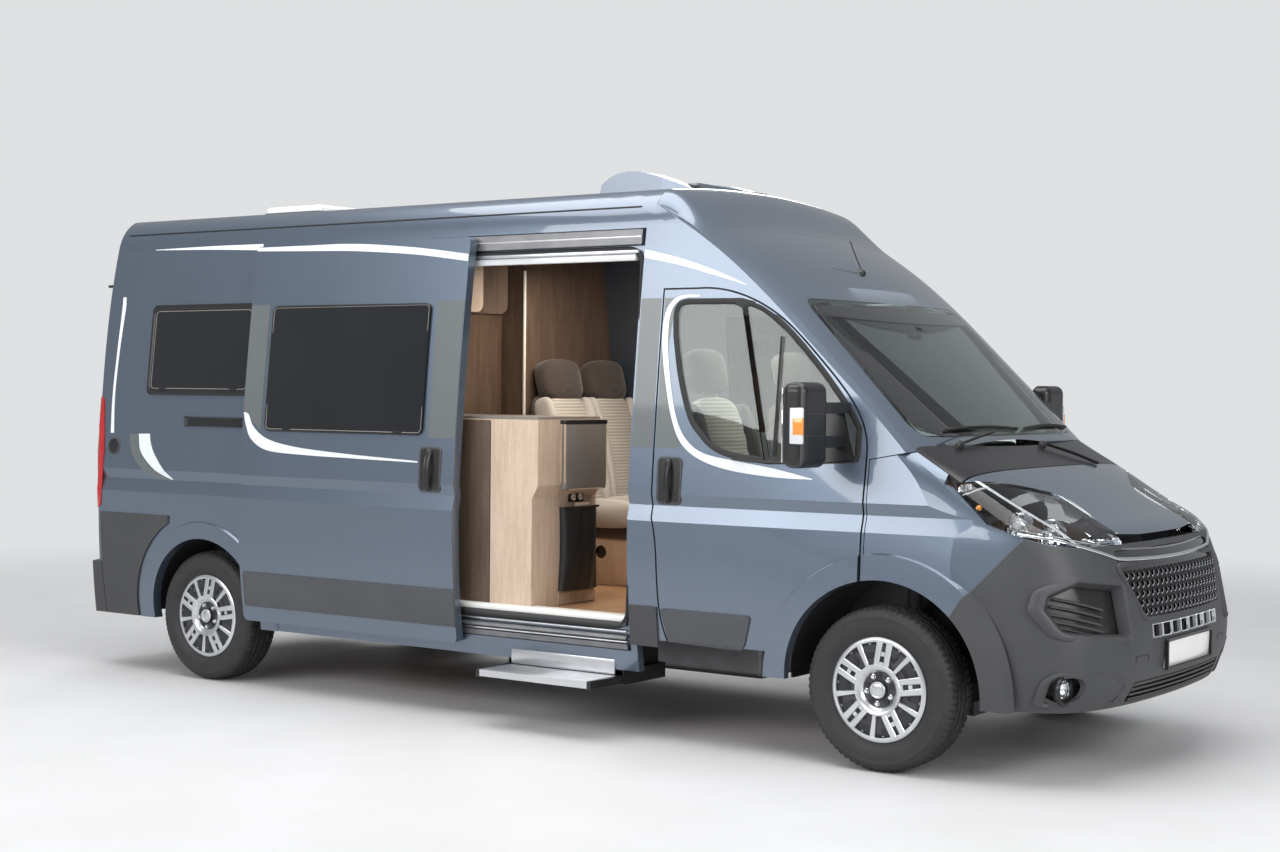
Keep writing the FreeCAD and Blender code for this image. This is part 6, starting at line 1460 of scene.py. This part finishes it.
BENCH_BOXES = [
    ("bench_base", (-0.46, 0.190, 0.531), (-0.02, 0.890, 0.780), "light_wood", 0.004),
    ("bench_strip", (-0.475, 0.175, 0.780), (-0.010, 0.905, 0.860), "seat_dark", 0.012),
]
# A flat gloss black disc that stands for a hole in the bench base: painted shade inside the hole.
HOLE_SHADE_DISC = [(0.0005, 0.0015), (0.030, 0.0015), (0.034, 0.0), (0.034, -0.002), (0.0005, -0.002)]
SEAT_LEAN = Matrix.Rotation(math.radians(-14), 3, "Y")
FLAP_BOXES = [
    ("flap_skin", (0.2148, -0.7715, 1.0825), (0.2470, -0.4385, 1.4060), "grey_panel", 0.018, 4),
    ("flap_edge", (0.2140, -0.7725, 1.398), (0.2480, -0.4375, 1.4175), "black", 0.003),
    ("socket_plate", (0.180, -0.665, 1.022), (0.1875, -0.545, 1.068), "black", 0.006),
]
WALL_BOXES = [
    ("wall_panel",(-0.905, -0.930, 1.425), (-0.885, 0.125, 1.960), "brown_wood", 0.003),
    ("wall_post", (-0.735, 0.118, 1.300), (-0.722, 0.132, 2.200), "white", 0.003),
]
SOCKET = [(0.0005, 0.001), (0.012, 0.001), (0.013, 0.004), (0.017, 0.004), (0.018, 0.0), (0.0005, -0.001)]
LOCKER_END = -0.2495
WHEEL_BOSS = [(0.0005, 0.034), (0.040, 0.031), (0.060, 0.022), (0.066, 0.0), (0.0005, 0.0)]
WHEEL_RAKE = math.radians(38)
CAB_BOXES = [
    ("dash_screen", (1.785, -0.120, 1.130), (1.800, 0.120, 1.260), "gloss_black", 0.006),
    ("dash_hood", (1.78, 0.220, 1.270), (1.95, 0.580, 1.335), "dash", 0.03, 3),
] + [(f"dash_vent_{k}", (1.735, y - 0.055, 1.140), (1.760, y + 0.055, 1.205), "black", 0.008)
     for k, y in enumerate((-0.78, -0.30, 0.22, 0.80))]


def make_doorway():
    """Seal, rails, rollers, light strip and sill of the open doorway, and the step's trim."""
    recess = straight_side(-0.026)
    opening = box_outline(-0.476, 0.774, 0.50, 2.20, 0.090, steps=10)
    band("door_seal", opening, DOOR_SEAL_LOOPS, recess, "seal")
    for name, z, radius, flat, lift, mat in RAILS:
        path = [recess(RAIL_START + RAIL_LENGTH * i / 12, z, lift) for i in range(13)]
        tube(name, path, radius, mat, sides=12, flat=flat)
    for name, z in (("top_roller", 2.258), ("low_roller", 0.455)):
        for k in range(3):
            spot = recess(-0.440 + 0.045 * k, z, 0.020)
            low, high = spot - Vector((0.018, 0.014, 0.016)), spot + Vector((0.018, 0.012, 0.016))
            bevelled_box(f"{name}_{k}", low, high, "black")
            spot += Vector((0, -0.014, 0.0))
            lathe(f"{name}_wheel_{k}", ROLLER, spot, (0, 1, 0), "steel", segments=16)
    boxes(DOORWAY_BOXES)
    boxes(STEP_BOXES, "step")
    bevelled_box("step_back", (0.10, -0.985, 0.276), (0.70, -0.972, 0.345), "alu")


def cab_seat(side):
    """A cab seat: base, cushion, back, bolsters and a headrest on two posts; gives the back."""
    word = side_name(side)
    y = side * 0.400
    pivot = Vector((0.980, y, 0.895))
    leaning = {"turn": SEAT_LEAN, "pivot": pivot}
    bevelled_box(f"seat_base_{word}", (1.05, y - 0.19, 0.531), (1.44, y + 0.19, 0.835), "dash", 0.02)
    cushion(f"seat_cushion_{word}", (0.985, y - 0.175, 0.832), (1.500, y + 0.175, 0.965), "seat", channels=7,
            channel_axis=0)
    for sign in (-1, 1):
        y0, y1 = sorted((y + sign * 0.170, y + sign * 0.252))
        cushion(f"seat_side_{word}_{sign + 1}", (1.00, y0, 0.832), (1.49, y1, 0.985), "seat_dark", cells=14)
        cushion(f"back_side_{word}_{sign + 1}", (0.925, y0, 0.900), (1.050, y1, 1.500), "seat_dark", cells=14,
                **leaning)
    low, high = (0.920, y - 0.180, 0.895), (1.035, y + 0.180, 1.535)
    back = cushion(f"seat_back_{word}", low, high, "seat", channels=8, **leaning)
    cushion(f"seat_head_{word}", (0.935, y - 0.135, 1.580), (1.025, y + 0.135, 1.770), "seat_dark", **leaning)
    for sign in (-1, 1):
        post = [SEAT_LEAN @ (Vector((0.98, y + 0.06 * sign, z)) - pivot) + pivot for z in (1.50, 1.62)]
        tube(f"seat_post_{word}_{sign + 1}", post, 0.007, "chrome", sides=8)
    return back


def bench_place(k, y):
    """One of the bench's two places: cushion, rolls, wings, shell, head and back; gives the back."""
    leaning = {"turn": SEAT_LEAN, "pivot": (-0.48, 0.54, 0.895)}
    cushion(f"bench_cushion_{k}", (-0.475, y - 0.165, 0.855), (0.035, y + 0.165, 0.965), "seat", channels=7,
            channel_axis=0)
    for sign in (-1, 1):
        y0, y1 = sorted((y + sign * 0.150, y + sign * 0.204))
        cushion(f"bench_roll_{k}_{sign + 1}", (-0.470, y0, 0.850), (0.030, y1, 0.975), "mattress", cells=14)
        cushion(f"bench_wing_{k}_{sign + 1}", (-0.540, y0, 0.905), (-0.405, y1, 1.520), "mattress", cells=14,
                **leaning)
    low, high = (-0.535, y - 0.160, 0.900), (-0.425, y + 0.160, 1.540)
    back = cushion(f"bench_back_{k}", low, high, "seat", channels=8, **leaning)
    for name, low, high in (("shell", (-0.565, y - 0.203, 0.900), (-0.500, y + 0.203, 1.560)),
                            ("head", (-0.535, y - 0.150, 1.520), (-0.420, y + 0.150, 1.735))):
        cushion(f"bench_{name}_{k}", low, high, "seat_dark", **leaning)
    return back


def make_seats():
    """Two cab seats and the bench as separate cushions on their bases."""
    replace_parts(cab_seat(-1), "cab_seats")
    cab_seat(1)
    boxes(BENCH_BOXES)
    # Holes in the bench base drawn as black discs: painted shade.
    for name, spot, way in (("bench_hole_shade", (-0.25, 0.1885, 0.705), (0, -1, 0)),
                            ("bench_hole_front", (-0.0185, 0.42, 0.705), (1, 0, 0))):
        lathe(name, HOLE_SHADE_DISC, spot, way, "gloss_black", segments=28)
    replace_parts(bench_place(0, 0.335), "bench")
    bench_place(1, 0.745)


def make_bed():
    """The mattress as one padded piece with channels across it."""
    low, high = (Vector(corner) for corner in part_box("mattress"))
    inset = Vector((0.020, 0.035, 0.012))
    pad = cushion("mattress_pad", low + inset, high - inset, "mattress", power=14.0, crown=0.020, channels=6,
                  channel_axis=0)
    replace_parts(pad, "mattress")


def make_kitchen():
    """Panels, flap, sockets and the bag on the kitchen's end, a painted shadow on its outer side, and the
    locker ends and wall behind it.
    """
    outer = cast_side(-1, "kitchen")
    # Painted shadow: a dark brown plate on the kitchen's pale outer side, from the doorway's rear edge to x
    # -0.075, stands for the door frame's shadow; the thin dark rod marks the shadow's front edge.
    dark = box_outline(-0.470, -0.075, 0.535, 1.415, 0.004)
    cap("kitchen_door_shadow", dark, outer, "brown_wood", lift=0.0018, thick=0.0016)
    tube("kitchen_edge", [outer(-0.073, z, 0.001) for z in (0.54, 0.85, 1.15, 1.41)], 0.002, "seal", sides=6)
    boxes(FLAP_BOXES)
    for k, y in enumerate((-0.632, -0.578)):
        lathe(f"socket_{k}", SOCKET, (0.1880, y, 1.045), (1, 0, 0), "chrome", segments=22)
    bevelled_box("bag_handle", (0.196, -0.640, 0.998), (0.226, -0.540, 1.022), "light_wood", 0.008)
    make_bag()
    top = rounded_outline([(-0.90, -0.955), (0.205, -0.955), (0.205, -0.430), (-0.90, -0.430)],
                          [0.004, 0.05, 0.02, 0.004])
    cap("worktop", top, lambda x, y, lift: Vector((x, max(y, -0.932), 1.4205 + lift)), "grey_panel",
        lift=0.012, thick=0.0118)
    plinth = box_outline(-0.735, -0.455, 0.535, 0.590, 0.003)
    cap("plinth", plinth, cast_end(1, "kitchen"), "light_wood", lift=0.004, thick=0.0038)
    boxes(WALL_BOXES)
    for name, y0, y1, mat, lift in (("locker_pale", -0.905, -0.800, "light_wood", 0.006),
                                    ("locker_brown", -0.800, -0.610, "brown_wood", 0.003)):
        corners = [(y0, 1.935), (y1, 1.935), (y1, 2.200), (y0, 2.200)]
        outline = rounded_outline(corners, [0.004, 0.05, 0.004, 0.004])
        cap(name, outline, lambda y, z, out: Vector((LOCKER_END + out, y, z)), mat, lift=lift, thick=lift)


def make_bag():
    """The black waste bag: a hem at the top, soft folds and a fuller lower end."""
    rows, columns = 26, 30
    front, back = [], []
    for r in range(rows):
        t = r / (rows - 1)
        z = 1.000 - 0.400 * t
        width = 0.272 - 0.018 * math.sin(math.pi * t) + 0.012 * t
        fullness = 0.35 + 0.65 * math.sin(math.pi * min(1, 0.15 + 0.75 * t))
        line_front, line_back = [], []
        for c in range(columns):
            s = c / (columns - 1)
            y = -0.594 + (s - 0.5) * width
            middle = math.sin(math.pi * s)
            fold = 0.006 * math.sin(9.0 * s + 2.2 * t) + 0.004 * math.sin(23.0 * s + 5.0 * t)
            out = 0.018 + 0.040 * middle ** 0.6 * fullness + fold * middle * (1 - 0.4 * t)
            line_front.append(Vector((0.1815 + out, y, z)))
            line_back.append(Vector((0.1812, y, z)))
        front.append(line_front)
        back.append(line_back)
    obj = piece("bag_skin", *slab(front, back), "bag", smooth_angle=60.0)
    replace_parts(obj, "waste_bag")
    hem = [(0.215 + 0.012 * math.sin(math.pi * i / 12), -0.725 + 0.262 * i / 12, 0.998) for i in range(13)]
    tube("bag_hem", hem, 0.006, "black", sides=8)


def make_cab():
    """The steering wheel's boss, the screen, hood and vents on the dashboard, and the inner mirror."""
    lathe("wheel_boss", WHEEL_BOSS, (1.640, 0.400, 1.190), (-math.cos(WHEEL_RAKE), 0, math.sin(WHEEL_RAKE)),
          "black", segments=36)
    boxes(CAB_BOXES)
    bevelled_box("inner_mirror", (1.40, -0.11, 1.84), (1.42, 0.11, 1.90), "black", 0.008)


make_camera()
make_floor()
make_world()
make_lamps()
set_view()
dress_nodes()
make_stripes()
make_windows()
make_side_details()
make_grille()
make_bumper()
both(make_headlamp)
make_bonnet()
both(make_mirror)
make_wheels()
make_rear()
make_roof()
make_doorway()
make_seats()
make_bed()
make_kitchen()
make_cab()
